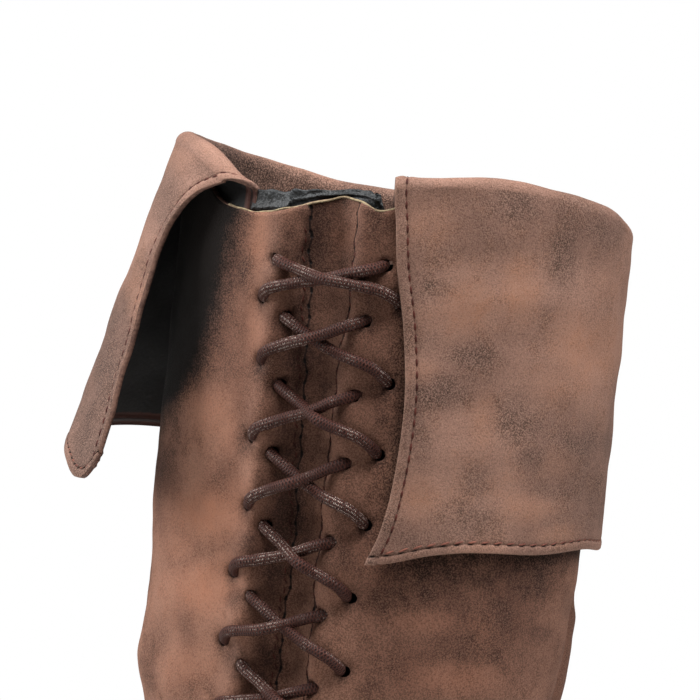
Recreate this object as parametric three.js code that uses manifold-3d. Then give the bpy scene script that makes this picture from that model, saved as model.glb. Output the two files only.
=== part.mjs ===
// A tall laced leather boot with a turned-down cuff, for the left foot.
// Millimetres, +Z up, toe towards -Y. The origin is under the middle of its outer box.
import * as THREE from 'three';
import * as BufferGeometryUtils from 'three/addons/utils/BufferGeometryUtils.js';
import Module from 'manifold-3d';

const wasm = await Module();
wasm.setup();

// Sole and last
const soleLength = 298;
const ballWidth = 104;
const heelHeight = 24;
const heelLength = 80;
const heelTaper = 3;
const heelLiftHeight = 6;
const toeSpring = 9;
const outsoleThickness = 5;
const midsoleThickness = 4;
const insoleThickness = 3;
const outsoleReach = 1.2;
const weltReach = 5.5;
const instepHeight = 120;
const instepReach = 152;
const ankleHeight = 153;
const heelHollow = 17.5;
const ankleWidth = 98;

// Shaft and cuff
const bootHeight = 418;
const shaftWidth = 154;
const shaftDepth = 124;
const shaftSetIn = 13;
const upperWall = 2.2;
const ridgeReach = 15.5;
const ridgeHeight = 3.4;
const ridgeWidth = 5.6;
const troughDepth = 5.4;
const troughWidth = 8;
const cuffWall = 2;
const cuffDepth = 124;
const facingDepth = 24;

// Lacing
const laceDiameter = 4;
const laceSpread = 13.5;
const lacePitch = 23.6;
const laceRowCount = 11;

// Running gap between pieces that touch on the real boot
const clearance = 0.3;

const degree = Math.PI / 180;
const seatEnd = heelLength + 12;
const treadStart = 0.54 * soleLength;
const treadEnd = 0.78 * soleLength;
const midsoleBase = outsoleThickness + clearance;
const soleStack = midsoleBase + midsoleThickness;
const featherLift = soleStack + clearance;
const insoleLift = soleStack + clearance;
const treadLevel = featherLift;
const seatLevel = heelHeight + featherLift;
const heelBackY = shaftDepth / 2 + shaftSetIn;

// Half widths of the foot's outline as shares of the ball width, before the ends are rounded.
const footOutline = [
  { at: 0, inner: 0.5, outer: 0.5 },
  { at: 0.15, inner: 0.45, outer: 0.47 },
  { at: 0.3, inner: 0.33, outer: 0.39 },
  { at: 0.45, inner: 0.3, outer: 0.37 },
  { at: 0.6, inner: 0.39, outer: 0.45 },
  { at: 0.7, inner: 0.49, outer: 0.515 },
  { at: 0.82, inner: 0.53, outer: 0.55 },
  { at: 1, inner: 0.5, outer: 0.46 },
];
const outlineRounding = 0.8;

// Sections of the foot: front and back are shares of the sole's length, toeRise and heelRise of the
// way up to the instep and the ankle, width of half the ball width, and foot and sole say how far
// the section keeps the foot's outline and the sole's own curve.
const footSections = [
  { front: 0.983, back: 0.018, toeRise: 0.06, heelRise: 0.06, width: 0.925, foot: 1, sole: 1 },
  { front: 0.983, back: 0.015, toeRise: 0.15, heelRise: 0.14, width: 0.945, foot: 1, sole: 1 },
  { front: 0.972, back: 0.016, toeRise: 0.25, heelRise: 0.2, width: 0.93, foot: 1, sole: 0.5 },
  { front: 0.948, back: 0.021, toeRise: 0.345, heelRise: 0.28, width: 0.895, foot: 0.95, sole: 0.1 },
  { front: 0.9, back: 0.03, toeRise: 0.425, heelRise: 0.39, width: 0.855, foot: 0.72, sole: 0 },
  { front: 0.82, back: 0.04, toeRise: 0.495, heelRise: 0.53, width: 0.84, foot: 0.45, sole: 0 },
  { front: 0.732, back: 0.0487, toeRise: 0.575, heelRise: 0.66, width: 0.85, foot: 0.25, sole: 0 },
  { front: 0.642, back: 0.0554, toeRise: 0.69, heelRise: 0.775, width: 0.875, foot: 0.12, sole: 0 },
  { front: 0.568, back: 0.0587, toeRise: 0.83, heelRise: 0.89, width: 0.91, foot: 0.05, sole: 0 },
];

// Sections of the shaft: rise is the share of the way from the ankle to the top edge, calf and lean
// and hollow the shares of the way from the ankle's width, front and back to the calf's, and ridge
// the strength of the two lace ridges.
const shaftSections = [
  { rise: 0, calf: 0, lean: 0, hollow: 0, ridge: 0.3 },
  { rise: 0.06, calf: 0.1, lean: 0.5, hollow: 0.08, ridge: 0.45 },
  { rise: 0.12, calf: 0.28, lean: 0.85, hollow: 0.25, ridge: 0.6 },
  { rise: 0.19, calf: 0.5, lean: 1, hollow: 0.5, ridge: 0.8 },
  { rise: 0.27, calf: 0.73, lean: 1.02, hollow: 0.75, ridge: 0.95 },
  { rise: 0.35, calf: 0.89, lean: 1.01, hollow: 0.92, ridge: 1 },
  { rise: 0.43, calf: 0.97, lean: 1, hollow: 1, ridge: 1 },
  { rise: 0.52, calf: 1, lean: 1, hollow: 1, ridge: 1 },
  { rise: 0.62, calf: 1, lean: 1, hollow: 1, ridge: 1 },
  { rise: 0.75, calf: 1, lean: 1, hollow: 1, ridge: 1 },
  { rise: 0.88, calf: 1, lean: 1, hollow: 1, ridge: 1 },
  { rise: 1, calf: 1, lean: 1, hollow: 1, ridge: 1 },
];

// The rim by turn about the shaft in degrees, 0 at the front and 90 at +X: the crest of the fold as
// a share of the boot's height, how far the shaft's own edge lies below it as a share of the facing,
// and the outward flare of the hem, width of the fold and length to the hem as shares of the cuff's
// depth.
const rim = [
  { turn: 0, crest: 0.9778, drop: 0.15, flare: 0.036, fold: 0.004, hem: 1.03 },
  { turn: 9, crest: 0.981, drop: 0.19, flare: 0.036, fold: 0.004, hem: 1.03 },
  { turn: 15, crest: 0.994, drop: 0.44, flare: 0.036, fold: 0.006, hem: 1.03 },
  { turn: 24, crest: 0.9964, drop: 0.26, flare: 0.036, fold: 0.006, hem: 1.02 },
  { turn: 34, crest: 0.9988, drop: 0.15, flare: 0.03, fold: 0.005, hem: 1 },
  { turn: 45, crest: 1, drop: 0.15, flare: 0.022, fold: 0.004, hem: 0.99 },
  { turn: 64, crest: 0.991, drop: 0.15, flare: 0.016, fold: 0.004, hem: 0.975 },
  { turn: 85, crest: 0.977, drop: 0.15, flare: 0.016, fold: 0.004, hem: 0.945 },
  { turn: 103, crest: 0.965, drop: 0.15, flare: 0.03, fold: 0.006, hem: 0.93 },
  { turn: 130, crest: 0.955, drop: 0.15, flare: 0.06, fold: 0.01, hem: 0.925 },
  { turn: 160, crest: 0.953, drop: 0.15, flare: 0.1, fold: 0.015, hem: 0.93 },
  { turn: 190, crest: 0.954, drop: 0.15, flare: 0.12, fold: 0.02, hem: 0.935 },
  { turn: 211, crest: 0.957, drop: 0.15, flare: 0.155, fold: 0.022, hem: 0.94 },
  { turn: 229, crest: 0.967, drop: 0.15, flare: 0.19, fold: 0.025, hem: 0.95 },
  { turn: 258, crest: 0.984, drop: 0.15, flare: 0.215, fold: 0.028, hem: 0.965 },
  { turn: 285, crest: 0.997, drop: 0.15, flare: 0.215, fold: 0.03, hem: 0.975 },
  { turn: 300, crest: 0.9985, drop: 0.15, flare: 0.212, fold: 0.034, hem: 0.98 },
  { turn: 312, crest: 0.9976, drop: 0.3, flare: 0.208, fold: 0.045, hem: 0.98 },
  { turn: 322, crest: 0.99, drop: 0.6, flare: 0.2, fold: 0.05, hem: 0.975 },
  { turn: 334, crest: 0.972, drop: 0.4, flare: 0.18, fold: 0.045, hem: 0.97 },
  { turn: 346, crest: 0.966, drop: 0.21, flare: 0.1, fold: 0.02, hem: 0.98 },
];

// The turns of the cuff's two free edges by the share of the way down to its hem.
const freeEdges = [
  { down: 0, right: 16.5, left: 334 },
  { down: 0.08, right: 17.5, left: 324 },
  { down: 0.18, right: 18.6, left: 313 },
  { down: 0.34, right: 21.6, left: 309.5 },
  { down: 0.6, right: 24.2, left: 313 },
  { down: 0.85, right: 22.6, left: 317 },
  { down: 1, right: 18.8, left: 318.5 },
];

// The lace holes of each row. Heights are in lace pitches below the row's own step, and spreads in
// shares of the lace spread. The last row stands for every row below it.
const laceRows = [
  { upLeft: 0.48, upRight: 0.34, downLeft: 1.08, downRight: 0.86,
    inLeft: 1.3, inRight: 1.5, outLeft: 1.64, outRight: 1.62 },
  { upLeft: 0.29, upRight: 0.18, downLeft: 0.94, downRight: 1.01,
    inLeft: 0.88, inRight: 1.27, outLeft: 1.46, outRight: 1.6 },
  { upLeft: 0.25, upRight: 0.21, downLeft: 1.06, downRight: 1.01,
    inLeft: 0.87, inRight: 1.2, outLeft: 1.51, outRight: 1.68 },
  { upLeft: 0.24, upRight: 0.21, downLeft: 1.05, downRight: 1.05,
    inLeft: 0.87, inRight: 1.13, outLeft: 1.42, outRight: 1.73 },
  { upLeft: 0.3, upRight: 0.34, downLeft: 1.06, downRight: 1.11,
    inLeft: 0.87, inRight: 0.97, outLeft: 1.7, outRight: 1.56 },
  { upLeft: 0.3, upRight: 0.4, downLeft: 1.09, downRight: 1.14,
    inLeft: 1.01, inRight: 0.9, outLeft: 1.8, outRight: 1.58 },
  { upLeft: 0.34, upRight: 0.46, downLeft: 1.1, downRight: 1.12,
    inLeft: 1.1, inRight: 0.9, outLeft: 1.78, outRight: 1.6 },
  { upLeft: 0.34, upRight: 0.38, downLeft: 1.08, downRight: 1.08,
    inLeft: 1, inRight: 1, outLeft: 1.65, outRight: 1.65 },
];

const leather = { color: 0x8a6454, roughness: 0.72, metalness: 0 };
const cuffLeather = { color: 0x94705f, roughness: 0.75, metalness: 0 };
const soleRubber = { color: 0x241d1a, roughness: 0.65, metalness: 0 };
const midsoleLeather = { color: 0x3a2a22, roughness: 0.6, metalness: 0 };
const insoleBoard = { color: 0x2a2421, roughness: 0.85, metalness: 0 };
const laceCord = { color: 0x3c2a25, roughness: 0.55, metalness: 0 };

const mix = (from, to, share) => from + (to - from) * share;
const clamp = (value) => Math.min(1, Math.max(0, value));
const smooth = (value) => clamp(value) ** 2 * (3 - 2 * clamp(value));
const hump = (distance, reach) => Math.exp(-((distance / reach) ** 2));

// Reads a column of a table at a value of its key, on a smooth curve through the rows.
function readTable(table, key, column, value, period = 0) {
  const count = table.length;
  const row = (index) => {
    const wrapped = period ? (index + count) % count : Math.min(count - 1, Math.max(0, index));
    const laps = period ? Math.floor(index / count) * period : 0;
    return { at: table[wrapped][key] + laps, is: table[wrapped][column] };
  };
  let lower = 0;
  while (lower < count - (period ? 1 : 2) && row(lower + 1).at <= value) {
    lower += 1;
  }
  const [before, start, end, after] = [lower - 1, lower, lower + 1, lower + 2].map(row);
  const span = end.at - start.at;
  const share = clamp((value - start.at) / span);
  const slope = (a, b) => (b.at > a.at ? (b.is - a.is) / (b.at - a.at) : 0);
  const leaving = slope(before, end) * span;
  const arriving = slope(start, after) * span;
  const rest = 1 - share;
  return start.is * (1 + 2 * share) * rest * rest + leaving * share * rest * rest
    + end.is * share * share * (3 - 2 * share) - arriving * share * share * rest;
}

// Turns about the boot, 0 at the toe and counted towards +X, closer together at the front.
const frontTurns = [3, 6, 9, 12, 15, 19, 24, 31, 40, 50];
const sideTurns = Array.from({ length: 11 }, (_, step) => 60 + 11 * step);
const halfTurns = [...frontTurns, ...sideTurns];
const turns = [0, ...halfTurns, 180, ...[...halfTurns].reverse().map((turn) => 360 - turn)];

// A closed body from its corners and its triangles.
function bodyFrom(points, faces) {
  const geometry = new THREE.BufferGeometry();
  const corners = faces.flatMap((face) => face.flatMap((index) => points[index].toArray()));
  geometry.setAttribute('position', new THREE.Float32BufferAttribute(corners, 3));
  return geometry;
}

function bandFaces(lower, upper, count, flip = false) {
  const faces = [];
  for (let index = 0; index < count; index += 1) {
    const next = (index + 1) % count;
    const quad = [lower + index, lower + next, upper + next, upper + index];
    faces.push([quad[0], quad[1], quad[2]], [quad[0], quad[2], quad[3]]);
  }
  return flip ? faces.map((face) => [...face].reverse()) : faces;
}

// A wall whose rings run up its outside and back down its inside.
function wallFrom(rings) {
  const count = rings[0].length;
  const faces = rings.flatMap((_, index) => (
    bandFaces(index * count, ((index + 1) % rings.length) * count, count)
  ));
  return bodyFrom(rings.flat(), faces);
}

// A solid through rings from one end to the other, each end closed about its middle.
function solidFrom(rings) {
  const count = rings[0].length;
  const points = rings.flat();
  const faces = [];
  for (let index = 0; index < rings.length - 1; index += 1) {
    faces.push(...bandFaces(index * count, (index + 1) * count, count));
  }
  const middle = (ring) => ring.reduce((sum, point) => sum.add(point), new THREE.Vector3())
    .divideScalar(ring.length);
  points.push(middle(rings[0]), middle(rings[rings.length - 1]));
  const last = (rings.length - 1) * count;
  for (let index = 0; index < count; index += 1) {
    const next = (index + 1) % count;
    faces.push([next, index, points.length - 2]);
    faces.push([last + index, last + next, points.length - 1]);
  }
  return bodyFrom(points, faces);
}

// A plate between loops that curve from heel to toe, its faces ruled from side to side.
function plateFrom(loops) {
  const count = loops[0].length;
  const faces = [];
  for (let index = 0; index < loops.length - 1; index += 1) {
    faces.push(...bandFaces(index * count, (index + 1) * count, count));
  }
  const top = (loops.length - 1) * count;
  for (let index = 0; index < count / 2; index += 1) {
    const across = [index, index + 1, count - index - 1, (count - index) % count];
    const corners = across.filter((corner, place) => across.indexOf(corner) === place);
    for (let step = 1; step < corners.length - 1; step += 1) {
      const face = [corners[0], corners[step], corners[step + 1]];
      faces.push([...face].reverse(), face.map((corner) => top + corner));
    }
  }
  return bodyFrom(loops.flat(), faces);
}

function outlineHalf(side, share) {
  const column = side > 0 ? 'outer' : 'inner';
  return ballWidth * readTable(footOutline, 'at', column, share);
}

// A point of the foot's outline at a turn, moved in from the sole's edge.
function outlinePoint(turn, inset) {
  const plain = (angle) => {
    const share = (1 + Math.cos(angle * degree)) / 2;
    const sine = Math.sin(angle * degree);
    const half = outlineHalf(sine, share) * Math.abs(sine) ** outlineRounding;
    return new THREE.Vector2(Math.sign(sine) * half, heelBackY - share * soleLength);
  };
  const along = plain(turn + 0.5).sub(plain(turn - 0.5)).normalize();
  return plain(turn).add(new THREE.Vector2(-along.y, along.x).multiplyScalar(inset));
}

// Height of the sole's underside at a distance forward of the heel's back.
function soleUnderside(forward) {
  if (forward < treadStart) {
    return heelHeight * (1 - smooth((forward - seatEnd) / (treadStart - seatEnd)));
  }
  return toeSpring * clamp((forward - treadEnd) / (soleLength - treadEnd)) ** 2;
}

function soleLoop(inset, lift) {
  return turns.map((turn) => {
    const point = outlinePoint(turn, inset);
    return new THREE.Vector3(point.x, point.y, soleUnderside(heelBackY - point.y) + lift);
  });
}

// How far the front stands out at a place across it: two lace ridges and the trough between.
function frontRelief(across) {
  const ridges = hump(Math.abs(across) - ridgeReach, ridgeWidth);
  return ridgeHeight * ridges - troughDepth * hump(across, troughWidth);
}

function rimAt(column, turn) {
  return readTable(rim, 'turn', column, ((turn % 360) + 360) % 360, 360);
}

const crestAt = (turn) => bootHeight * rimAt('crest', turn);
const edgeAt = (turn) => crestAt(turn) - facingDepth * rimAt('drop', turn);

function footRing(section) {
  return turns.map((turn) => {
    const share = (1 + Math.cos(turn * degree)) / 2;
    const sine = Math.sin(turn * degree);
    const outline = outlineHalf(sine, share) / (0.5 * ballWidth);
    const blunt = Math.cos(turn * degree) > 0 ? mix(1, outlineRounding, section.foot) : outlineRounding;
    const half = 0.5 * ballWidth * section.width * mix(1, outline, section.foot);
    const forward = soleLength * mix(section.back, section.front, share);
    const toeZ = mix(treadLevel, instepHeight, section.toeRise);
    const heelZ = mix(seatLevel, ankleHeight, section.heelRise);
    const rise = mix(heelZ - seatLevel, toeZ - treadLevel, share);
    const followed = soleUnderside(forward) + featherLift + rise;
    return new THREE.Vector3(
      Math.sign(sine) * half * Math.abs(sine) ** blunt,
      heelBackY - forward,
      mix(mix(heelZ, toeZ, share), followed, section.sole),
    );
  });
}

function shaftPoint(turn, section, offset = 0) {
  const sine = Math.sin(turn * degree);
  const cosine = Math.cos(turn * degree);
  const half = mix(ankleWidth, shaftWidth, section.calf) / 2 + offset;
  const front = mix(instepReach, shaftSetIn + shaftDepth, section.lean) + offset;
  const back = mix(heelHollow, shaftSetIn, section.hollow) - offset;
  const share = (1 + cosine) / 2;
  const rounding = cosine > 0 ? 1 : mix(0.9, 1, section.calf);
  const across = Math.sign(sine) * half * Math.abs(sine) ** rounding;
  const relief = cosine > 0 ? section.ridge * frontRelief(across) : 0;
  const ankleLine = mix(ankleHeight, instepHeight, share);
  return new THREE.Vector3(
    across,
    heelBackY - mix(back, front, share) - relief,
    mix(ankleLine, edgeAt(turn), section.rise),
  );
}

const outerRings = [
  soleLoop(weltReach, featherLift),
  ...footSections.map(footRing),
  ...shaftSections.map((section) => turns.map((turn) => shaftPoint(turn, section))),
];

// The wall's inner rings lie a wall's thickness inside the outer ones, square to the surface.
function innerRings() {
  const count = turns.length;
  const last = outerRings.length - 1;
  const inside = outerRings.map((ring, level) => ring.map((point, index) => {
    const around = ring[(index + 1) % count].clone().sub(ring[(index - 1 + count) % count]);
    const above = outerRings[Math.min(last, level + 1)][index];
    const below = outerRings[Math.max(0, level - 1)][index];
    const normal = new THREE.Vector3().crossVectors(around, above.clone().sub(below));
    if (level === 0 || level === last) {
      normal.setZ(0);
    }
    return point.clone().addScaledVector(normal.normalize(), -upperWall);
  }));
  inside[0] = soleLoop(weltReach + upperWall, featherLift);
  return inside.reverse();
}

function makeUpper() {
  return wallFrom([...outerRings, ...innerRings()]);
}

function makeOutsole() {
  const edge = 1.5;
  return plateFrom([
    soleLoop(edge, 0),
    soleLoop(0, edge),
    soleLoop(0, outsoleThickness),
  ]);
}

function makeMidsole() {
  return plateFrom([
    soleLoop(outsoleReach, midsoleBase),
    soleLoop(outsoleReach, soleStack),
  ]);
}

function makeInsole() {
  const inset = weltReach + upperWall + 2 * clearance;
  return plateFrom([
    soleLoop(inset, insoleLift),
    soleLoop(inset, insoleLift + insoleThickness),
  ]);
}

// The heel block, from its walking face up to the sole, with a step above its lowest lift.
function makeHeel() {
  const steps = 20;
  const breastTurn = Math.acos(2 * (heelLength / soleLength) - 1) / degree;
  const level = (height, inset) => Array.from({ length: steps + 1 }, (_, step) => {
    const turn = mix(breastTurn, 360 - breastTurn, step / steps);
    const point = outlinePoint(turn, inset);
    return new THREE.Vector3(point.x, point.y, height);
  });
  const top = heelHeight - clearance;
  const liftStep = 0.6;
  return solidFrom([
    level(0, heelTaper),
    level(heelLiftHeight, heelTaper),
    level(heelLiftHeight + liftStep / 2, heelTaper + liftStep),
    level(heelLiftHeight + liftStep, heelTaper),
    level(top, outsoleReach),
  ]);
}

// The cuff's middle line in the upright plane at a turn: out is measured from the shaft's face.
function cuffLine(turn) {
  const innerOut = -(upperWall + clearance + cuffWall / 2);
  const outerOut = clearance + cuffWall / 2 + cuffDepth * rimAt('fold', turn);
  const radius = (outerOut - innerOut) / 2;
  const springZ = crestAt(turn) - cuffWall / 2 - radius;
  const flare = cuffDepth * rimAt('flare', turn);
  const length = cuffDepth * rimAt('hem', turn);
  const fall = Math.sqrt(length ** 2 - flare ** 2) - radius;
  const inside = [1, 0.5].map((down) => ({
    out: innerOut, z: springZ - facingDepth * down, down: 0,
  }));
  const fold = [180, 140, 100, 60, 20].map((angle) => ({
    out: (innerOut + outerOut) / 2 + radius * Math.cos(angle * degree),
    z: springZ + radius * Math.sin(angle * degree),
    down: 0,
  }));
  const outside = [0.06, 0.18, 0.34, 0.6, 0.85, 1].map((down) => ({
    out: outerOut + flare * down ** 0.85, z: springZ - fall * down, down,
  }));
  return [...inside, ...fold, ...outside];
}

// The line thickened to the cuff's wall, as a closed section.
function cuffSection(turn) {
  const line = cuffLine(turn);
  const side = (offset) => line.map((point, index) => {
    const before = line[Math.max(0, index - 1)];
    const after = line[Math.min(line.length - 1, index + 1)];
    const run = Math.hypot(after.out - before.out, after.z - before.z);
    return {
      out: point.out - (offset * (after.z - before.z)) / run,
      z: point.z + (offset * (after.out - before.out)) / run,
      down: point.down,
    };
  });
  return [...side(cuffWall / 2), ...side(-cuffWall / 2).reverse()];
}

// The cuff runs from its right free edge round the back to its left one.
function makeCuff() {
  const rightEnd = 31;
  const leftEnd = 300;
  const fixed = turns.filter((turn) => turn >= rightEnd && turn <= leftEnd);
  const columns = [
    ...[0, 0.5].map((share) => ({ edge: 'right', share })),
    ...fixed.map((turn) => ({ turn })),
    ...[0.34, 0.67, 1].map((share) => ({ edge: 'left', share })),
  ];
  const turnOf = (column, down) => {
    if (column.edge === 'right') {
      return mix(readTable(freeEdges, 'down', 'right', down), rightEnd, column.share);
    }
    if (column.edge === 'left') {
      return mix(leftEnd, readTable(freeEdges, 'down', 'left', down), column.share);
    }
    return column.turn;
  };
  const calf = shaftSections[shaftSections.length - 1];
  const rings = columns.map((column) => cuffSection(turnOf(column, 0)).map((_, index) => {
    const down = cuffSection(turnOf(column, 0))[index].down;
    const turn = turnOf(column, down);
    const place = cuffSection(turn)[index];
    const point = shaftPoint(turn, calf, place.out);
    return point.setZ(place.z);
  }));
  return solidFrom(rings);
}

// The shaft's outer face at a place across the front and a height.
const ankleRing = footSections.length + 1;
function frontAt(across, z) {
  const crossings = outerRings.slice(ankleRing - 1).map((ring) => {
    const half = turns.length / 2;
    const order = [...ring.slice(half + half / 2), ...ring.slice(0, half / 2)];
    const index = Math.max(1, order.findIndex((point) => point.x > across));
    const [left, right] = [order[index - 1], order[index]];
    return left.clone().lerp(right, (across - left.x) / (right.x - left.x));
  });
  const index = Math.max(1, crossings.findIndex((point) => point.z > z));
  const [low, high] = [crossings[index - 1], crossings[index]];
  return low.clone().lerp(high, (z - low.z) / (high.z - low.z));
}

function frontNormal(across, z) {
  const step = 2;
  const sideways = frontAt(across + step, z).sub(frontAt(across - step, z));
  const upwards = frontAt(across, z + step).sub(frontAt(across, z - step));
  return sideways.cross(upwards).normalize();
}

// A taut strand over the front from one hole to another, raised where it passes over its pair.
function strandPath(start, end, raise) {
  const count = 10;
  const lift = laceDiameter / 2 + 2.5 * clearance;
  const loose = Array.from({ length: count + 1 }, (_, step) => {
    const share = step / count;
    const [x, z] = [mix(start.x, end.x, share), mix(start.z, end.z, share)];
    return frontAt(x, z).addScaledVector(frontNormal(x, z), lift);
  });
  const taut = loose.map((point, place) => {
    let y = point.y;
    for (let from = 0; from < place; from += 1) {
      for (let to = place + 1; to <= count; to += 1) {
        const chord = mix(loose[from].y, loose[to].y, (place - from) / (to - from));
        y = Math.min(y, chord);
      }
    }
    return point.clone().setY(y);
  });
  return taut.map((point, step) => (
    point.setY(point.y - raise * hump(step / count - 0.5, 0.2))
  ));
}

function strandSolid(path) {
  const sides = 6;
  const rings = path.map((point, index) => {
    const before = path[Math.max(0, index - 1)];
    const after = path[Math.min(path.length - 1, index + 1)];
    const along = after.clone().sub(before).normalize();
    const across = new THREE.Vector3(0, -1, 0).cross(along).normalize();
    const outward = along.clone().cross(across);
    return Array.from({ length: sides }, (_, side) => {
      const angle = (side / sides) * 2 * Math.PI;
      return point.clone()
        .addScaledVector(across, (laceDiameter / 2) * Math.cos(angle))
        .addScaledVector(outward, (laceDiameter / 2) * Math.sin(angle));
    });
  });
  return solidFrom(rings);
}

function manifoldOf(geometry) {
  const merged = BufferGeometryUtils.mergeVertices(geometry, 1e-4);
  return new wasm.Manifold(new wasm.Mesh({
    numProp: 3,
    vertProperties: new Float32Array(merged.attributes.position.array),
    triVerts: new Uint32Array(merged.index.array),
  }));
}

function geometryOf(manifold) {
  const mesh = manifold.getMesh();
  const geometry = new THREE.BufferGeometry();
  geometry.setAttribute('position', new THREE.BufferAttribute(mesh.vertProperties, 3));
  geometry.setIndex(new THREE.BufferAttribute(mesh.triVerts, 1));
  return geometry;
}

// The four holes of one row, across the front and up the shaft.
function holesOf(row) {
  const shares = laceRows[Math.min(row - 1, laceRows.length - 1)];
  const height = (below) => bootHeight - lacePitch * (row + below);
  return {
    inLeft: { x: -laceSpread * shares.inLeft, z: height(shares.upLeft) },
    inRight: { x: laceSpread * shares.inRight, z: height(shares.upRight) },
    outLeft: { x: -laceSpread * shares.outLeft, z: height(shares.downLeft) },
    outRight: { x: laceSpread * shares.outRight, z: height(shares.downRight) },
  };
}

// Two strands that cross over the trough, joined where they touch.
function makeLaceCross(row) {
  const holes = holesOf(row);
  const raise = 0.85 * laceDiameter;
  const falling = strandSolid(strandPath(holes.inLeft, holes.outRight, row % 2 ? raise : 0));
  const rising = strandSolid(strandPath(holes.inRight, holes.outLeft, row % 2 ? 0 : raise));
  return geometryOf(manifoldOf(falling).add(manifoldOf(rising)));
}

// The lace's lowest run, straight across between the last pair of holes.
function makeLaceBar() {
  const holes = holesOf(laceRowCount + 1);
  const level = (holes.inLeft.z + holes.inRight.z) / 2;
  const start = { x: holes.inLeft.x, z: level };
  const end = { x: holes.inRight.x, z: level };
  return strandSolid(strandPath(start, end, 0));
}

const boot = new THREE.Group();

function addPiece(name, geometry, finish) {
  const piece = new THREE.Mesh(geometry, new THREE.MeshStandardMaterial(finish));
  piece.name = name;
  boot.add(piece);
}

addPiece('outsole', makeOutsole(), soleRubber);
addPiece('midsole', makeMidsole(), midsoleLeather);
addPiece('heel', makeHeel(), soleRubber);
addPiece('insole', makeInsole(), insoleBoard);
addPiece('upper', makeUpper(), leather);
addPiece('cuff', makeCuff(), cuffLeather);
for (let row = 1; row <= laceRowCount; row += 1) {
  addPiece(`lace_cross_${row}`, makeLaceCross(row), laceCord);
}
addPiece('lace_bar', makeLaceBar(), laceCord);

const outerBox = new THREE.Box3().setFromObject(boot, true);
const boxMiddle = outerBox.getCenter(new THREE.Vector3());
boot.position.set(-boxMiddle.x, -boxMiddle.y, -outerBox.min.z);

export default boot;
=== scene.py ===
import math
import bmesh
import bpy
import numpy as np
from mathutils import Matrix, Vector


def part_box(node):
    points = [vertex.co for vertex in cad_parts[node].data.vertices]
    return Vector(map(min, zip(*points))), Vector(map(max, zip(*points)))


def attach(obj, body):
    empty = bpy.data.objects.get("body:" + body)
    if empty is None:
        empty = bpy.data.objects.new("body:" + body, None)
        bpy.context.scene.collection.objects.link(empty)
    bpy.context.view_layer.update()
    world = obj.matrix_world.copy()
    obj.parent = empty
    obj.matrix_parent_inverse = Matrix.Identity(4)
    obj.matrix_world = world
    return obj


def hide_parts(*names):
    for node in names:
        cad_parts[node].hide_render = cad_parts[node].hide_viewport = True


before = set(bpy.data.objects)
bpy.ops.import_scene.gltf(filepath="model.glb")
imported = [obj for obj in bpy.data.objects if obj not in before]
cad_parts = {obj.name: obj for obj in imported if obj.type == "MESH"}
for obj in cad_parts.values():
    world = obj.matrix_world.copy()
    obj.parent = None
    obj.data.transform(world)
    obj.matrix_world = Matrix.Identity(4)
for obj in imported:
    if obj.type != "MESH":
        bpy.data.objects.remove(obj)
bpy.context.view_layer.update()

# Sizes are in mm from here on, measured from the middle of the shaft, and become metres in the meshes.
mm = 0.001
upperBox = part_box("upper")
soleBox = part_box("outsole")
heelBack = 75.0
shaftPlace = np.array([
    (upperBox[0].x + upperBox[1].x) / 2 / mm,
    soleBox[1].y / mm - heelBack,
    0.0,
])

boot = {
    "height": 418, "soleLength": 298, "ballWidth": 104, "heelHeight": 24, "toeSpring": 9,
    "outsole": 5, "midsole": 4, "gap": 0.3, "weltReach": 5.5, "throat": 118,
    "instepHeight": 120, "instepReach": 152, "ankleHeight": 153, "heelHollow": 17.5,
    "ankleWidth": 98, "shaftWidth": 154, "shaftDepth": 124, "shaftSetIn": 13, "wall": 2.2,
    "ridgeReach": 15.5, "ridgeHeight": 3.4, "ridgeWidth": 5.6, "troughDepth": 5.4,
    "troughWidth": 8, "cuffWall": 2, "cuffDepth": 124, "facing": 24,
}
featherLift = boot["outsole"] + boot["midsole"] + 2 * boot["gap"]


def mixed(start, end, share):
    return start + (end - start) * share


def eased(value):
    value = np.clip(value, 0, 1)
    return value * value * (3 - 2 * value)


def hump(distance, reach):
    return np.exp(-((distance / reach) ** 2))


def signedTurn(turn):
    return np.where(turn > 180, turn - 360, turn)


# A smooth bend from start to end, by the slopes that it leaves and arrives with.
def bent(start, end, leaving, arriving, share):
    rest = 1 - share
    return (start * (1 + 2 * share) * rest ** 2 + leaving * share * rest ** 2
            + end * share ** 2 * (3 - 2 * share) - arriving * share ** 2 * rest)


# Reads a smooth curve through rows of (key, value, value ...), at one of its columns.
def onCurve(rows, column, at, period=None):
    keys, values = (np.array([row[index] for row in rows], float) for index in (0, column))
    at = np.asarray(at, float)
    first = 0
    if period:
        at = np.mod(at, period)
        keys = np.concatenate([[keys[-1] - period], keys, [keys[0] + period, keys[1] + period]])
        values = np.concatenate([[values[-1]], values, values[:2]])
        first = 1
    lower = np.clip(np.searchsorted(keys, at, side="right") - 1, first, len(keys) - 2 - first)
    before = np.maximum(lower - 1, 0)
    after = np.minimum(lower + 2, len(keys) - 1)
    span = keys[lower + 1] - keys[lower]
    share = np.clip((at - keys[lower]) / span, 0, 1)
    leaving = (values[lower + 1] - values[before]) / (keys[lower + 1] - keys[before]) * span
    arriving = (values[after] - values[lower]) / (keys[after] - keys[lower]) * span
    return bent(values[lower], values[lower + 1], leaving, arriving, share)


# ---- the boot's own curves

# share of the way from heel to toe, inner half width, outer half width
footOutline = [
    (0, 0.5, 0.5), (0.15, 0.45, 0.47), (0.3, 0.33, 0.39), (0.45, 0.3, 0.37),
    (0.6, 0.39, 0.45), (0.7, 0.49, 0.515), (0.82, 0.53, 0.55), (1, 0.5, 0.46),
]
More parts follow.
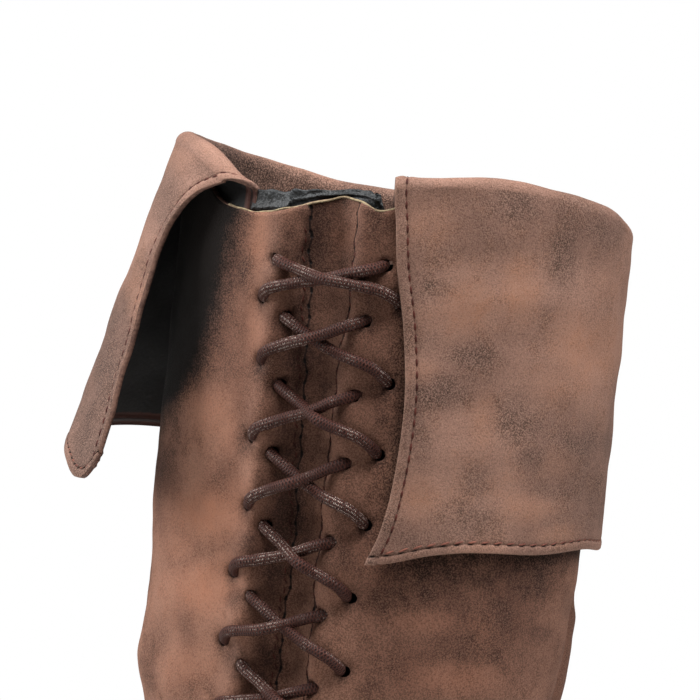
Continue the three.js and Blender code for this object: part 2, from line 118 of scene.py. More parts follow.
# front, back, toe rise, heel rise, width, how much of the foot's outline, how much of the sole's curve
footSections = [
    (0.983, 0.018, 0.06, 0.06, 0.925, 1, 1), (0.983, 0.015, 0.15, 0.14, 0.945, 1, 1),
    (0.972, 0.016, 0.25, 0.2, 0.93, 1, 0.5), (0.948, 0.021, 0.345, 0.28, 0.895, 0.95, 0.1),
    (0.9, 0.03, 0.425, 0.39, 0.855, 0.72, 0), (0.82, 0.04, 0.495, 0.53, 0.84, 0.45, 0),
    (0.732, 0.0487, 0.575, 0.66, 0.85, 0.25, 0), (0.642, 0.0554, 0.69, 0.775, 0.875, 0.12, 0),
    (0.568, 0.0587, 0.83, 0.89, 0.91, 0.05, 0),
]
# rise, calf, lean, hollow, ridge
shaftSections = [
    (0, 0, 0, 0, 0.3), (0.06, 0.1, 0.5, 0.08, 0.45), (0.12, 0.28, 0.85, 0.25, 0.6),
    (0.19, 0.5, 1, 0.5, 0.8), (0.27, 0.73, 1.02, 0.75, 0.95), (0.35, 0.89, 1.01, 0.92, 1),
    (0.43, 0.97, 1, 1, 1), (0.52, 1, 1, 1, 1), (0.75, 1, 1, 1, 1), (1, 1, 1, 1, 1),
]
# turn, crest, drop, flare, fold, hem
rim = [
    (0, 0.9778, 0.15, 0.036, 0.004, 1.03), (9, 0.981, 0.19, 0.036, 0.004, 1.03),
    (15, 0.9915, 0.44, 0.036, 0.006, 1.03), (24, 0.9955, 0.26, 0.036, 0.006, 1.02),
    (34, 0.9988, 0.15, 0.03, 0.005, 1), (45, 1, 0.15, 0.022, 0.007, 0.99),
    (64, 0.9925, 0.15, 0.012, 0.013, 0.97), (85, 0.9805, 0.15, 0.005, 0.02, 0.93),
    (103, 0.965, 0.15, 0.004, 0.027, 0.905), (130, 0.955, 0.15, 0.04, 0.028, 0.89),
    (160, 0.953, 0.15, 0.08, 0.024, 0.88), (190, 0.954, 0.15, 0.115, 0.022, 0.865),
    (211, 0.957, 0.15, 0.15, 0.022, 0.855), (229, 0.967, 0.15, 0.185, 0.025, 0.86),
    (258, 0.984, 0.15, 0.22, 0.019, 0.885), (285, 0.997, 0.15, 0.228, 0.017, 0.925),
    (300, 0.9985, 0.15, 0.228, 0.018, 0.955), (312, 0.9976, 0.3, 0.222, 0.022, 0.975),
    (322, 0.99, 0.6, 0.205, 0.022, 0.855), (334, 0.972, 0.4, 0.18, 0.014, 0.95),
    (346, 0.966, 0.21, 0.1, 0.01, 0.98),
]
# share of the way down, turn of the right free edge, turn of the left one
freeEdges = [
    (0, 16.5, 328.8), (0.02, 16.7, 327), (0.048, 17, 324.8), (0.08, 17.5, 322.2), (0.144, 18.2, 318),
    (0.22, 19.2, 314.2), (0.3, 20.8, 313), (0.36, 21.9, 313), (0.52, 23.8, 314.4), (0.66, 24.1, 315),
    (0.82, 23, 316.6), (0.92, 21.4, 317.4), (1, 18.8, 317.8),
]
# height, left front seam, right front seam
frontSeams = [
    (90, -5, 7), (160, -4.4, 7.6), (239, -3.6, 8.3), (252, -3.8, 8.3), (269, -3.6, 7.8),
    (278, -2.8, 7.6), (306, -3.6, 7.6), (330, -4.6, 7.6), (355, -5.6, 7.9), (368, -6.1, 9.7),
    (380, -6.6, 9.9), (392, -7.6, 9.5), (405, -8, 10.4),
]
# height and place across of each row's holes, as (left, right) pairs: inner, then outer
laceRows = [
    ((-17.5, 383), (21.5, 386), (-22.1, 369), (27.1, 374)),
    ((-11.8, 364), (17.1, 367), (-19.6, 348.5), (26, 347)),
    ((-11.7, 341), (16.2, 342), (-20.4, 322), (25, 323)),
    ((-11.7, 318), (15.3, 319), (-19.2, 299), (23.4, 299)),
    ((-11.7, 293), (13, 292), (-22.9, 275), (21, 274)),
    ((-13.7, 269), (12.2, 267), (-24.3, 251), (21.4, 249)),
    ((-14.9, 245), (12.2, 242), (-24, 227), (21.6, 226)),
]
evenRow = ((-13.8, 245), (13.2, 242), (-22.6, 227), (21.8, 226))
laceRowCount = 11
lacePitch = 23.6


def rimAt(column, turn):
    return onCurve(rim, column, turn, 360)


def crestAt(turn):
    return boot["height"] * rimAt(1, turn)


# The height of the shaft's own edge, inside the cuff's fold.
def edgeAt(turn):
    return crestAt(turn) - boot["facing"] * rimAt(2, turn)


def outlineHalf(sine, share):
    inner, outer = (onCurve(footOutline, side, share) for side in (1, 2))
    return boot["ballWidth"] * np.where(sine > 0, outer, inner)


def plainOutline(turn):
    angle = np.radians(turn)
    share = (1 + np.cos(angle)) / 2
    sine = np.sin(angle)
    across = np.sign(sine) * outlineHalf(sine, share) * np.abs(sine) ** 0.8
    return np.stack([across, heelBack - share * boot["soleLength"]], -1)


def outlinePoint(turn, inset):
    along = plainOutline(turn + 0.5) - plainOutline(turn - 0.5)
    along /= np.linalg.norm(along, axis=-1, keepdims=True)
    return plainOutline(turn) + np.stack([-along[..., 1], along[..., 0]], -1) * inset


# The walking face's height: up at the heel, down along the arch, flat under the ball, up at the toe.
def soleUnderside(forward):
    seatEnd, treadStart, treadEnd = 92, 0.54 * boot["soleLength"], 0.78 * boot["soleLength"]
    arch = boot["heelHeight"] * (1 - eased((forward - seatEnd) / (treadStart - seatEnd)))
    toe = boot["toeSpring"] * np.clip((forward - treadEnd) / (boot["soleLength"] - treadEnd), 0, 1) ** 2
    return np.where(forward < treadStart, arch, toe)


def soleLoop(turn, inset, lift):
    point = outlinePoint(turn, inset)
    height = soleUnderside(heelBack - point[..., 1]) + lift
    return np.concatenate([point, height[..., None]], -1)


def frontRelief(across):
    ridges = hump(np.abs(across) - boot["ridgeReach"], boot["ridgeWidth"])
    return boot["ridgeHeight"] * ridges - boot["troughDepth"] * hump(across, boot["troughWidth"])


def footRing(turn, section):
    front, back, toeRise, heelRise, width, foot, sole = section
    angle = np.radians(turn)
    share = (1 + np.cos(angle)) / 2
    sine = np.sin(angle)
    outline = outlineHalf(sine, share) / (0.5 * boot["ballWidth"])
    blunt = np.where(np.cos(angle) > 0, mixed(1, 0.8, foot), 0.8)
    half = 0.5 * boot["ballWidth"] * width * mixed(1, outline, foot)
    forward = boot["soleLength"] * mixed(back, front, share)
    seat = boot["heelHeight"] + featherLift
    toeZ = mixed(featherLift, boot["instepHeight"], toeRise)
    heelZ = mixed(seat, boot["ankleHeight"], heelRise)
    rise = mixed(heelZ - seat, toeZ - featherLift, share)
    followed = soleUnderside(forward) + featherLift + rise
    across = np.sign(sine) * half * np.abs(sine) ** blunt
    height = mixed(mixed(heelZ, toeZ, share), followed, sole)
    return np.stack([across, heelBack - forward, height], -1)


# A place on the shaft's outer face, by the turn from the front and the share of the way up.
def shaftPoint(turn, rise, offset=0.0):
    turn, rise, offset = np.broadcast_arrays(*(np.asarray(each, float) for each in (turn, rise, offset)))
    calf, lean, hollow, ridge = (onCurve(shaftSections, column, rise) for column in (1, 2, 3, 4))
    sine, cosine = np.sin(np.radians(turn)), np.cos(np.radians(turn))
    half = mixed(boot["ankleWidth"], boot["shaftWidth"], calf) / 2 + offset
    front = mixed(boot["instepReach"], boot["shaftSetIn"] + boot["shaftDepth"], lean) + offset
    back = mixed(boot["heelHollow"], boot["shaftSetIn"], hollow) - offset
    share = (1 + cosine) / 2
    rounding = np.where(cosine > 0, 1, mixed(0.9, 1, calf))
    across = np.sign(sine) * half * np.abs(sine) ** rounding
    relief = np.where(cosine > 0, ridge * frontRelief(across), 0)
    ankleLine = mixed(boot["ankleHeight"], boot["instepHeight"], share)
    height = mixed(ankleLine, edgeAt(turn), rise)
    return np.stack([across, heelBack - mixed(back, front, share) - relief, height], -1)


# Turn and rise on the shaft of a place across its front at a height.
def frontPlace(across, height):
    across, height = np.broadcast_arrays(np.asarray(across, float), np.asarray(height, float))
    turn = np.degrees(np.arcsin(across / (boot["shaftWidth"] / 2)))
    for _ in range(6):
        ankleLine = mixed(boot["ankleHeight"], boot["instepHeight"], (1 + np.cos(np.radians(turn))) / 2)
        rise = (height - ankleLine) / (edgeAt(turn) - ankleLine)
        calf = onCurve(shaftSections, 1, np.clip(rise, 0, 1))
        half = mixed(boot["ankleWidth"], boot["shaftWidth"], calf) / 2
        turn = np.degrees(np.arcsin(np.clip(across / half, -1, 1)))
    return turn, rise


# Place across of a front seam, with the small wander of a puckered seam.
def seamAt(column, height):
    height = np.asarray(height, float)
    wander = 0.42 * np.sin(height / 1.45 + 2 * column) + 0.3 * np.sin(height / 3.9 + column)
    return onCurve(frontSeams, column, height) + wander


# The photograph's camera, in the boot's own mm and degrees.
photoView = {"azimuth": 22, "elevation": 8, "roll": 6, "distance": 1200, "aim": (0, -31, 352),
             "lens": 182, "sensor": 36, "pixels": 700}


def towards(azimuth, elevation):
    turn, lift = math.radians(azimuth), math.radians(elevation)
    return np.array([math.sin(turn) * math.cos(lift), -math.cos(turn) * math.cos(lift), math.sin(lift)])


# The directions that the camera sees as right, up and back.
def viewFrame():
    azimuth, roll = math.radians(photoView["azimuth"]), math.radians(photoView["roll"])
    back = towards(photoView["azimuth"], photoView["elevation"])
    level = np.array([math.cos(azimuth), math.sin(azimuth), 0])
    upright = np.cross(back, level)
    right = level * math.cos(roll) + upright * math.sin(roll)
    up = upright * math.cos(roll) - level * math.sin(roll)
    return right, up, back


# Where places on the boot fall in the photograph, in its pixels.
def pictureSpot(place):
    right, up, back = viewFrame()
    away = place - np.array(photoView["aim"]) - back * photoView["distance"]
    scale = photoView["lens"] / photoView["sensor"] * photoView["pixels"] / -(away @ back)
    middle = photoView["pixels"] / 2
    return middle + scale * (away @ right), middle - scale * (away @ up)


# Soft patches laid down where the photograph shows them: across, down, reach across, reach down, strength.
def patchesOver(spots, place, facing):
    across, down = pictureSpot(place)
    total = np.zeros(across.shape)
    for atAcross, atDown, reachAcross, reachDown, strength in spots:
        near = ((across - atAcross) / reachAcross) ** 2 + ((down - atDown) / reachDown) ** 2
        total = np.maximum(total, strength * np.exp(-near ** 1.4))
    return total * facing


# The holes of a row. Below the photograph's edge the last rows repeat an even one at the lace's pitch.
def holesOf(row):
    if row <= len(laceRows):
        return laceRows[row - 1]
    below = lacePitch * (row - len(laceRows))
    return [(across, height - below) for across, height in evenRow]


allHoles = [hole for row in range(1, laceRowCount + 1) for hole in holesOf(row)]
allHoles += list(holesOf(laceRowCount + 1)[:2])


# ---- the leather's soft forms

# Creases of the shaft as lines of (turn, height), then width and depth, a ridge where it is less than 0.
shaftCreases = [
    (((104, 268), (97, 236), (92, 196)), 5, 2.2), (((112, 262), (104, 232), (98, 190)), 6, -1.8),
    (((-62, 176), (-30, 164), (8, 168)), 5, 2.4), (((-70, 158), (-34, 148), (0, 146), (30, 152)), 5, 2.8),
    (((66, 180), (38, 168), (6, 160)), 5.5, 2.2), (((72, 160), (44, 148), (18, 143)), 5, 2),
    (((-50, 166), (-18, 156), (20, 158), (48, 160)), 5.5, -1.6),
    (((150, 172), (176, 166), (206, 170)), 6, 2.2), (((140, 150), (170, 144), (214, 150)), 6, 2.6),
    (((156, 160), (184, 156), (220, 162)), 5.5, -1.4), (((120, 196), (150, 188), (186, 192)), 7, 1.5),
    (((200, 198), (232, 190), (262, 200)), 7, 1.6), (((-96, 204), (-84, 226), (-78, 252)), 7, 1.2),
    (((30, 214), (44, 232), (50, 262)), 8, 0.9), (((-40, 330), (-46, 286), (-42, 250)), 12, 0.7),
    (((60, 300), (72, 270), (76, 232)), 10, 0.9), (((150, 300), (158, 250), (150, 214)), 10, 1.4),
    (((220, 300), (212, 262), (222, 226)), 10, 1.3),
    (((-96, 272), (-60, 263)), 12, 1.7), (((-100, 228), (-60, 231)), 11, -2.6),
]


# Distance from a line of (turn, height) points, over the shaft's face.
def distanceTo(line, along, up):
    nearest = np.full(np.broadcast(along, up).shape, np.inf)
    places = [(turn * shaftForm["turnLength"], height) for turn, height in line]
    for (startAlong, startUp), (endAlong, endUp) in zip(places, places[1:]):
        runAlong, runUp = endAlong - startAlong, endUp - startUp
        share = ((along - startAlong) * runAlong + (up - startUp) * runUp) / (runAlong ** 2 + runUp ** 2)
        share = np.clip(share, 0, 1)
        gap = np.hypot(along - startAlong - share * runAlong, up - startUp - share * runUp)
        nearest = np.minimum(nearest, gap)
    return nearest


def softWaves(place, size, height):
    x, y, z = (place[..., axis] / size for axis in range(3))
    waves = (np.sin(2.1 * x + 1.3 * z + 0.4) * np.cos(1.7 * y - 0.9 * z + 1.1)
             + 0.6 * np.sin(3.7 * z - 2.3 * x + 2 * y) + 0.5 * np.cos(4.3 * y + 3.1 * x + 0.7 * z))
    return height * waves / 2.1


# Small forms of the shaft's leather, most as (height, reach) in mm.
shaftForm = {
    "strip": 0.9, "stripEdge": 0.8, "seam": (0.6, 0.6), "lipOut": 3.2, "leftLip": (0.5, 2),
    "rightLip": (0.6, 2), "gutter": (1.7, 5), "gutterAt": -6.5, "shoulder": (0.5, 4), "shoulderAt": -18,
    "topFade": (402, 26), "pinch": (1.5, 4.6), "puff": (0.9, 6.5), "puffUp": 11, "dimple": (1.3, 3.1),
    "backSeam": (0.6, 0.8), "backLip": (0.3, 1.5), "backLipOut": 2.6, "turnLength": 1.3,
}


def bump(gap, key):
    height, reach = shaftForm[key]
    return height * hump(gap, reach)


# How far the shaft's leather stands off its plain form, in mm.
def shaftRelief(place, turn):
    across, height = place[..., 0], place[..., 2]
    signed = signedTurn(turn)
    atFront = (np.abs(signed) < 60) & (place[..., 1] < 0)
    left, right = across - seamAt(1, height), across - seamAt(2, height)
    strip = eased(left / shaftForm["stripEdge"] + 0.5) * eased(0.5 - right / shaftForm["stripEdge"])
    front = -shaftForm["strip"] * strip - bump(left, "seam") - bump(right, "seam")
    front = front + bump(left + shaftForm["lipOut"], "leftLip") + bump(right - shaftForm["lipOut"], "rightLip")
    gutter = bump(across - shaftForm["gutterAt"], "gutter") - bump(across - shaftForm["shoulderAt"], "shoulder")
    fadeStart, fadeLength = shaftForm["topFade"]
    front = front - gutter * eased((fadeStart - height) / fadeLength)
    for side in (0, 1):
        for row in range(1, laceRowCount + 1):
            middle = (np.array(holesOf(row)[2 + side]) + np.array(holesOf(row + 1)[side])) / 2
            front = front - bump(np.hypot(across - middle[0], height - middle[1]), "pinch")
            above = height - middle[1] - shaftForm["puffUp"]
            front = front + bump(np.hypot((across - middle[0]) / 1.1, above), "puff")
    for holeAcross, holeUp in allHoles:
        front = front - bump(np.hypot(across - holeAcross, height - holeUp), "dimple")
    relief = np.where(atFront, front, 0) * eased((height - 100) / 20)
    for line, width, depth in shaftCreases:
        for lap in (-360, 0, 360):
            gap = distanceTo(line, (signed + lap) * shaftForm["turnLength"], height)
            relief = relief - depth * hump(gap, width)
    backSeam = bump(across, "backSeam") - bump(np.abs(across) - shaftForm["backLipOut"], "backLip")
    relief = relief - np.where(place[..., 1] > 0, backSeam, 0)
    relief = relief + softWaves(place, 17, 0.55) * eased((400 - height) / 30)
    return relief + softWaves(place + 40, 6.5, 0.16)


# Toe creases across the ball of the foot, by distance forward of the heel.
vampCreases = [(196, 0.0042, 4.5, 2), (206, 0.0036, 4, -1.1), (184, 0.005, 5, 1.5), (214, 0.003, 4.5, 1.1)]


def footRelief(place):
    forward = heelBack - place[..., 1]
    onTop = eased((place[..., 2] - 34) / 22) * eased((boot["throat"] - place[..., 2]) / 20)
    relief = np.zeros(forward.shape)
    for where, bend, width, depth in vampCreases:
        line = where - bend * (place[..., 0] - 4) ** 2 + 1.5 * np.sin(place[..., 0] / 9 + where)
        fade = hump(place[..., 0] - 4 - where / 40, 34)
        relief = relief - depth * hump(forward - line, width) * fade * onTop
    return relief


def netNormals(net, closed):
    around = np.gradient(net, axis=1)
    if closed:
        around[:, 0] = around[:, -1] = (net[:, 1] - net[:, -2]) / 2
    upwards = np.gradient(net, axis=0)
    normal = np.cross(around, upwards)
    return normal / np.maximum(np.linalg.norm(normal, axis=-1, keepdims=True), 1e-9)


# ---- meshes

def placed(name, data):
    piece = bpy.data.objects.new(name, data)
    bpy.context.scene.collection.objects.link(piece)
    return piece


# Puts what was built in a bmesh into a mesh of smooth faces.
def released(work, mesh):
    for face in work.faces:
        face.smooth = True
    work.to_mesh(mesh)
    work.free()


# A grid of faces laid over a net of points, with values for its corners.
def gridPiece(name, net, weld=True, values=None, holes=None):
    rows, columns = net.shape[:2]
    grid = bmesh.new()
    bmesh.ops.create_grid(grid, x_segments=columns - 1, y_segments=rows - 1, size=1)
    mesh = bpy.data.meshes.new(name)
    grid.to_mesh(mesh)
    grid.free()
    flat = np.empty(len(mesh.vertices) * 3)
    mesh.vertices.foreach_get("co", flat)
    flat = flat.reshape(-1, 3)
    column = np.rint((flat[:, 0] + 1) / 2 * (columns - 1)).astype(int)
    row = np.rint((flat[:, 1] + 1) / 2 * (rows - 1)).astype(int)
    place = (net[row, column] + shaftPlace) * mm
    mesh.vertices.foreach_set("co", place.ravel())
    corners = np.empty(len(mesh.loops), int)
    mesh.loops.foreach_get("vertex_index", corners)
    for key, value in (values or {}).items():
        layer = mesh.attributes.new(key, "FLOAT", "CORNER")
        layer.data.foreach_set("value", value[row, column][corners].astype(np.float32))
    work = bmesh.new()
    work.from_mesh(mesh)
    if weld:
        bmesh.ops.remove_doubles(work, verts=work.verts, dist=2e-6)
    if holes:
        openHoles(work, holes)
    released(work, mesh)
    return placed(name, mesh)


# A punched hole's radius and how far beside it the leather is drawn onto its circle, as a share of the
# radius, then the stretch of the front that has holes: before the middle, to each side and upwards.
punch = {"radius": 2.1, "drawn": 1.8, "before": 30, "beside": 34, "above": 110}


# Takes out the faces inside each punched hole and draws the rim that is left onto a circle.
def openHoles(work, holes):
    middleX, frontY = shaftPlace[0] * mm, (shaftPlace[1] - punch["before"]) * mm
    radius = punch["radius"] * mm
    centres = [(middleX + across * mm, height * mm) for across, height in holes]
    frontFaces = [face for face in work.faces
                  if face.verts[0].co.y < frontY and face.verts[0].co.z > punch["above"] * mm
                  and abs(face.verts[0].co.x - middleX) < punch["beside"] * mm]
    doomed = set()
    for face in frontFaces:
        middle = face.calc_center_median()
        if any(math.hypot(middle.x - x, middle.z - z) < radius for x, z in centres):
            doomed.add(face)
    bmesh.ops.delete(work, geom=list(doomed), context="FACES")
    brim = [vert for vert in work.verts if vert.co.y <= frontY and vert.is_boundary]
    for x, z in centres:
        for vert in brim:
            gap = math.hypot(vert.co.x - x, vert.co.z - z)
            if 1e-6 < gap < radius * punch["drawn"]:
                vert.co.x = x + (vert.co.x - x) * radius / gap
                vert.co.z = z + (vert.co.z - z) * radius / gap


# Gives a sheet its thickness, with materials counted on for its back and its edge.
def addWall(piece, thickness, offset, back=0, edge=0):
    wall = piece.modifiers.new("wall", "SOLIDIFY")
    wall.thickness = thickness * mm
    wall.offset = offset
    wall.material_offset = back
    wall.material_offset_rim = edge


def finished(piece, slot, *stoodFor, materials=()):
    for material in materials:
        piece.data.materials.append(material)
    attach(piece, "root")
    if stoodFor:
        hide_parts(*stoodFor)
    return piece


# ---- materials

# A screen colour, as 0 to 255, turned into the linear one that Blender takes.
def linear(*channels):
    return tuple(((c / 255 + 0.055) / 1.055) ** 2.4 if c > 10 else c / 255 / 12.92 for c in channels) + (1,)


# A node's output socket that can be reckoned with like a number.
class Value:
    def __init__(self, bench, socket):
        self.bench, self.socket = bench, socket

    def maths(self, operation, other=None, turned=False):
        pair = [self] if other is None else [other, self] if turned else [self, other]
        return self.bench.node("ShaderNodeMath", {"operation": operation}, dict(enumerate(pair)))

    def __add__(self, other):
        return self.maths("ADD", other)

    def __sub__(self, other):
        return self.maths("SUBTRACT", other)

    def __rsub__(self, other):
        return self.maths("SUBTRACT", other, True)

    def __mul__(self, other):
        return self.maths("MULTIPLY", other)

    def __abs__(self):
        return self.maths("ABSOLUTE")

    def held(self):
        return self.bench.node("ShaderNodeClamp", {}, {0: self})

    def wave(self):
        return self.maths("SINE")

    __radd__ = __add__


# The workbench of one material: its nodes, from the texture's place to the finished surface.
class Bench:
    def __init__(self, name):
        self.material = bpy.data.materials.new(name)
        self.material.use_nodes = True
        self.tree = self.material.node_tree
        self.shader = self.tree.nodes["Principled BSDF"]
        self.objectPlace = self.node("ShaderNodeTexCoord", {"out": "Object"}, {})

    def node(self, kind, settings, sockets):
        made = self.tree.nodes.new(kind)
        for key, value in settings.items():
            if key != "out":
                setattr(made, key, value)
        for key, value in sockets.items():
            self.join(made.inputs[key], value)
        return Value(self, made.outputs[settings.get("out", 0)])

    def join(self, socket, value):
        if isinstance(value, Value):
            self.tree.links.new(value.socket, socket)
        else:
            socket.default_value = value

    def noise(self, scale, detail=3, roughness=0.6, stretch=None):
        place = self.objectPlace
        if stretch:
            place = self.node("ShaderNodeMapping", {}, {"Vector": place, "Scale": stretch})
        return self.node("ShaderNodeTexNoise", {}, {
            "Vector": place, "Scale": scale, "Detail": detail, "Roughness": roughness})

    def step(self, value, low, high):
        return self.node("ShaderNodeMapRange", {"interpolation_type": "SMOOTHSTEP"}, {
            "Value": value, "From Min": low, "From Max": high})

    def tint(self, factor, under, over):
        return self.node("ShaderNodeMix", {"data_type": "RGBA", "out": 2}, {0: factor, 6: under, 7: over})

    # 1 along the line where an attribute is 0, fading to 0 at the width beside it.
    def lineAt(self, attribute, width, core=0.4):
        return 1 - self.step(abs(self.attribute(attribute)), width * core, width)

    def attribute(self, name):
        return self.node("ShaderNodeAttribute", {"attribute_name": name, "out": "Fac"}, {})

    def bump(self, height, distance, strength=1.0):
        return self.node("ShaderNodeBump", {}, {"Height": height, "Distance": distance, "Strength": strength})

    def finish(self, **sockets):
        names = {"colour": "Base Color", "roughness": "Roughness", "normal": "Normal",
                 "coat": "Coat Weight", "coatRoughness": "Coat Roughness", "sheen": "Sheen Weight",
                 "sheenRoughness": "Sheen Roughness", "specular": "Specular IOR Level"}
        for key, value in sockets.items():
            self.join(self.shader.inputs[names[key]], value)
        return self.material


# The braid's turning in radians for each mm of cord, and its strands each way.
braid = {"turning": 6.2, "strands": 5}
# shadeBlack is the near black of painted shadow, and of the needle holes.
leatherLook = {
    "tan": linear(149, 107, 88), "red": linear(169, 115, 90), "brown": linear(116, 78, 62),
    "grey": linear(76, 50, 42), "dark": linear(34, 20, 16), "light": linear(190, 146, 122),
    "worn": linear(168, 126, 104), "shadeBlack": linear(14, 7, 4), "depth": 0.85, "dulling": 0.6,
}
# The cuff's tones are paler and greyer than the shaft's, in part a painted pale sheen.
cuffLook = {
    "tan": linear(152, 115, 99), "red": linear(165, 116, 90), "brown": linear(124, 92, 79),
    "grey": linear(94, 74, 67), "dark": linear(42, 29, 25), "light": linear(200, 162, 143),
    "worn": linear(168, 132, 114), "shadeBlack": linear(22, 14, 12), "depth": 0.5, "dulling": 0.0,
}


# Distressed nubuck: clouds of tan, red brown and grey brown, their darks broken up into fine speckle. Over them
# go painted shade with dark patches, painted light with warm patches and a near-black painted shadow, from the
# mesh's attributes.
def distressedLeather(name, look, lines, dots, worn=None):
    bench = Bench(name)
    broad = bench.noise(26, 2, 0.5, stretch=(1, 1, 0.75))
    patch = bench.noise(62, stretch=(1, 1, 0.8))
    cloud = bench.noise(170, 4, 0.65)
    grain = bench.noise(1750, 2, 0.7)
    pores = bench.noise(2600, 1, 0.5)
    darkPatchAndShade, warmPatchAndLight = bench.attribute("darkPatchAndShade"), bench.attribute("warmPatchAndLight")
    # Grey brown mottle from noise, deepened by dark patches and painted shade from the mesh.
    mottleAndShade = bench.step(patch * 0.55 + broad * 0.45 + (cloud - 0.5) * 0.4, 0.42, 0.7)
    mottleAndShade = (mottleAndShade * (1 - warmPatchAndLight * 0.9) * 0.7 + darkPatchAndShade * (0.4 + cloud * 0.8)).held()
    # Warm red patches from noise, raised by warm patches and painted light from the mesh.
    warmAndLight = (bench.step(cloud * 0.5 + patch * 0.5, 0.46, 0.64) * 0.4 + warmPatchAndLight * (0.4 + cloud * 0.6)).held()
    colour = bench.tint(bench.step(broad, 0.36, 0.62) * (1 - warmPatchAndLight), look["tan"], look["brown"])
    colour = bench.tint(warmAndLight, colour, look["red"])
    colour = bench.tint(mottleAndShade * look["depth"], colour, look["grey"])
    freckle = bench.step(grain + mottleAndShade * 0.1 - warmPatchAndLight * 0.06, 0.47, 0.6)
    colour = bench.tint(freckle * (mottleAndShade * 0.42 + 0.3 - warmPatchAndLight * 0.1).held(), colour, look["dark"])
    gleam = bench.step(pores, 0.5, 0.62) * (mottleAndShade * 0.4 + 0.42 - darkPatchAndShade * look["dulling"]).held()
    colour = bench.tint(gleam * 0.42, colour, look["light"])
    if worn:
        wearAndGlintPatch = 1 - bench.step(bench.attribute(worn) + cloud * 1.2, 0.5, 1.7)
        colour = bench.tint(wearAndGlintPatch * 0.3, colour, look["worn"])
    # Painted shadow: the leather goes near black, with a ragged edge, where the mesh marks the shade of the
    # flap, the cuff and the facing.
    paintedShadowMask = bench.attribute("paintedShadow")
    ragged = bench.step(paintedShadowMask * 1.15 + (cloud - 0.5) * 0.35 + (grain - 0.5) * 0.9, 0.12, 0.86)
    colour = bench.tint(ragged * bench.step(paintedShadowMask, 0.0, 0.3), colour, look["shadeBlack"])
    height = grain * 0.5 + pores * 0.3 + cloud * 1.2 - freckle * 0.5
    for attribute, width, strength in lines:
        colour = bench.tint(bench.lineAt(attribute, width) * strength, colour, look["dark"])
    for attribute, along, pitch, width in dots:
        beat = (bench.attribute(along) * (2 * math.pi / pitch)).wave()
        hole = bench.lineAt(attribute, width, 0.6) * bench.step(beat, 0.2, 0.8)
        colour = bench.tint(hole * 0.9, colour, look["shadeBlack"])
        height = height - hole * 3
    roughness = (0.6 + cloud * 0.2 + freckle * 0.1 + paintedShadowMask * 0.3).held()
    return bench.finish(colour=colour, roughness=roughness, normal=bench.bump(height, 0.00024, 0.8),
                        sheen=0.02, sheenRoughness=0.5, specular=0.18)


def rawEdge(name, light, dark):
    bench = Bench(name)
    fibre = bench.noise(900)
    colour = bench.tint(bench.step(fibre * 0.6 + bench.noise(160) * 0.5, 0.4, 0.7), light, dark)
    return bench.finish(colour=colour, roughness=0.8, normal=bench.bump(fibre, 0.0002))


def plainFinish(name, tones, roughness, scale, depth=0.0002, coat=0.0, specular=0.5):
    bench = Bench(name)
    cloud, fine = bench.noise(scale * 0.1, 4), bench.noise(scale)
    colour = bench.tint(bench.step(cloud, 0.35, 0.65), *tones)
    return bench.finish(colour=colour, roughness=(roughness + fine * 0.15).held(), coat=coat,
                        coatRoughness=0.3, specular=specular, normal=bench.bump(fine + cloud, depth))


# The flap's black backing, with the leather's turned edge showing brown along its hem.
def flapBacking():
    bench = Bench("flap_backing")
    weave = bench.noise(700)
    colour = bench.tint(weave, linear(14, 12, 11), linear(28, 28, 29))
    turned = 1 - bench.step(bench.attribute("edgeGap") + weave, 5.4, 6.2)
    colour = bench.tint(turned, colour, linear(74, 42, 34))
    crease = 1 - bench.step(abs(bench.attribute("edgeGap") - 2.6), 0.3, 0.7)
    colour = bench.tint(crease * turned * 0.8, colour, linear(20, 11, 9))
    return bench.finish(colour=colour, roughness=0.65, specular=0.3, normal=bench.bump(weave, 0.0002))


def wovenSock():
    bench = Bench("woven_sock")
    warp, weft = ((bench.node("ShaderNodeSeparateXYZ", {"out": axis}, {0: bench.objectPlace}) * 3200).wave()
                  for axis in "XY")
    weave = warp * weft
    colour = bench.tint(weave * 0.5 + 0.5, linear(44, 38, 35), linear(74, 66, 60))
    colour = bench.tint(bench.noise(60) * 0.4, colour, linear(58, 48, 42))
    return bench.finish(colour=colour, roughness=0.88, normal=bench.bump(weave, 0.0003))


# Strands wound both ways round a cord, with painted pale glints in patches along it.
def waxedBraid():
    bench = Bench("waxed_braid")
    along = bench.attribute("along") * braid["turning"]
    around = bench.attribute("around") * (2 * math.pi * braid["strands"])
    one, two = (along + around).wave(), (along - around).wave()
    crossing = one.maths("MAXIMUM", two)
    wearAndGlintPatch = bench.step(bench.noise(70, 2, 0.5), 0.42, 0.62)
    glint = bench.step(one * two, 0.2, 0.7) * bench.step(bench.noise(1500, 2), 0.46, 0.58) * wearAndGlintPatch
    colour = bench.tint(bench.step(crossing, -0.1, 0.95), linear(30, 14, 12), linear(80, 46, 38))
    colour = bench.tint(bench.step(bench.noise(260), 0.4, 0.7) * 0.6, colour, linear(56, 31, 26))
    colour = bench.tint(glint * 0.8, colour, linear(206, 188, 176))
    return bench.finish(colour=colour, roughness=(0.55 - glint * 0.15).held(), coat=0.02,
                        coatRoughness=0.4, specular=0.16, normal=bench.bump(crossing, 0.00016))


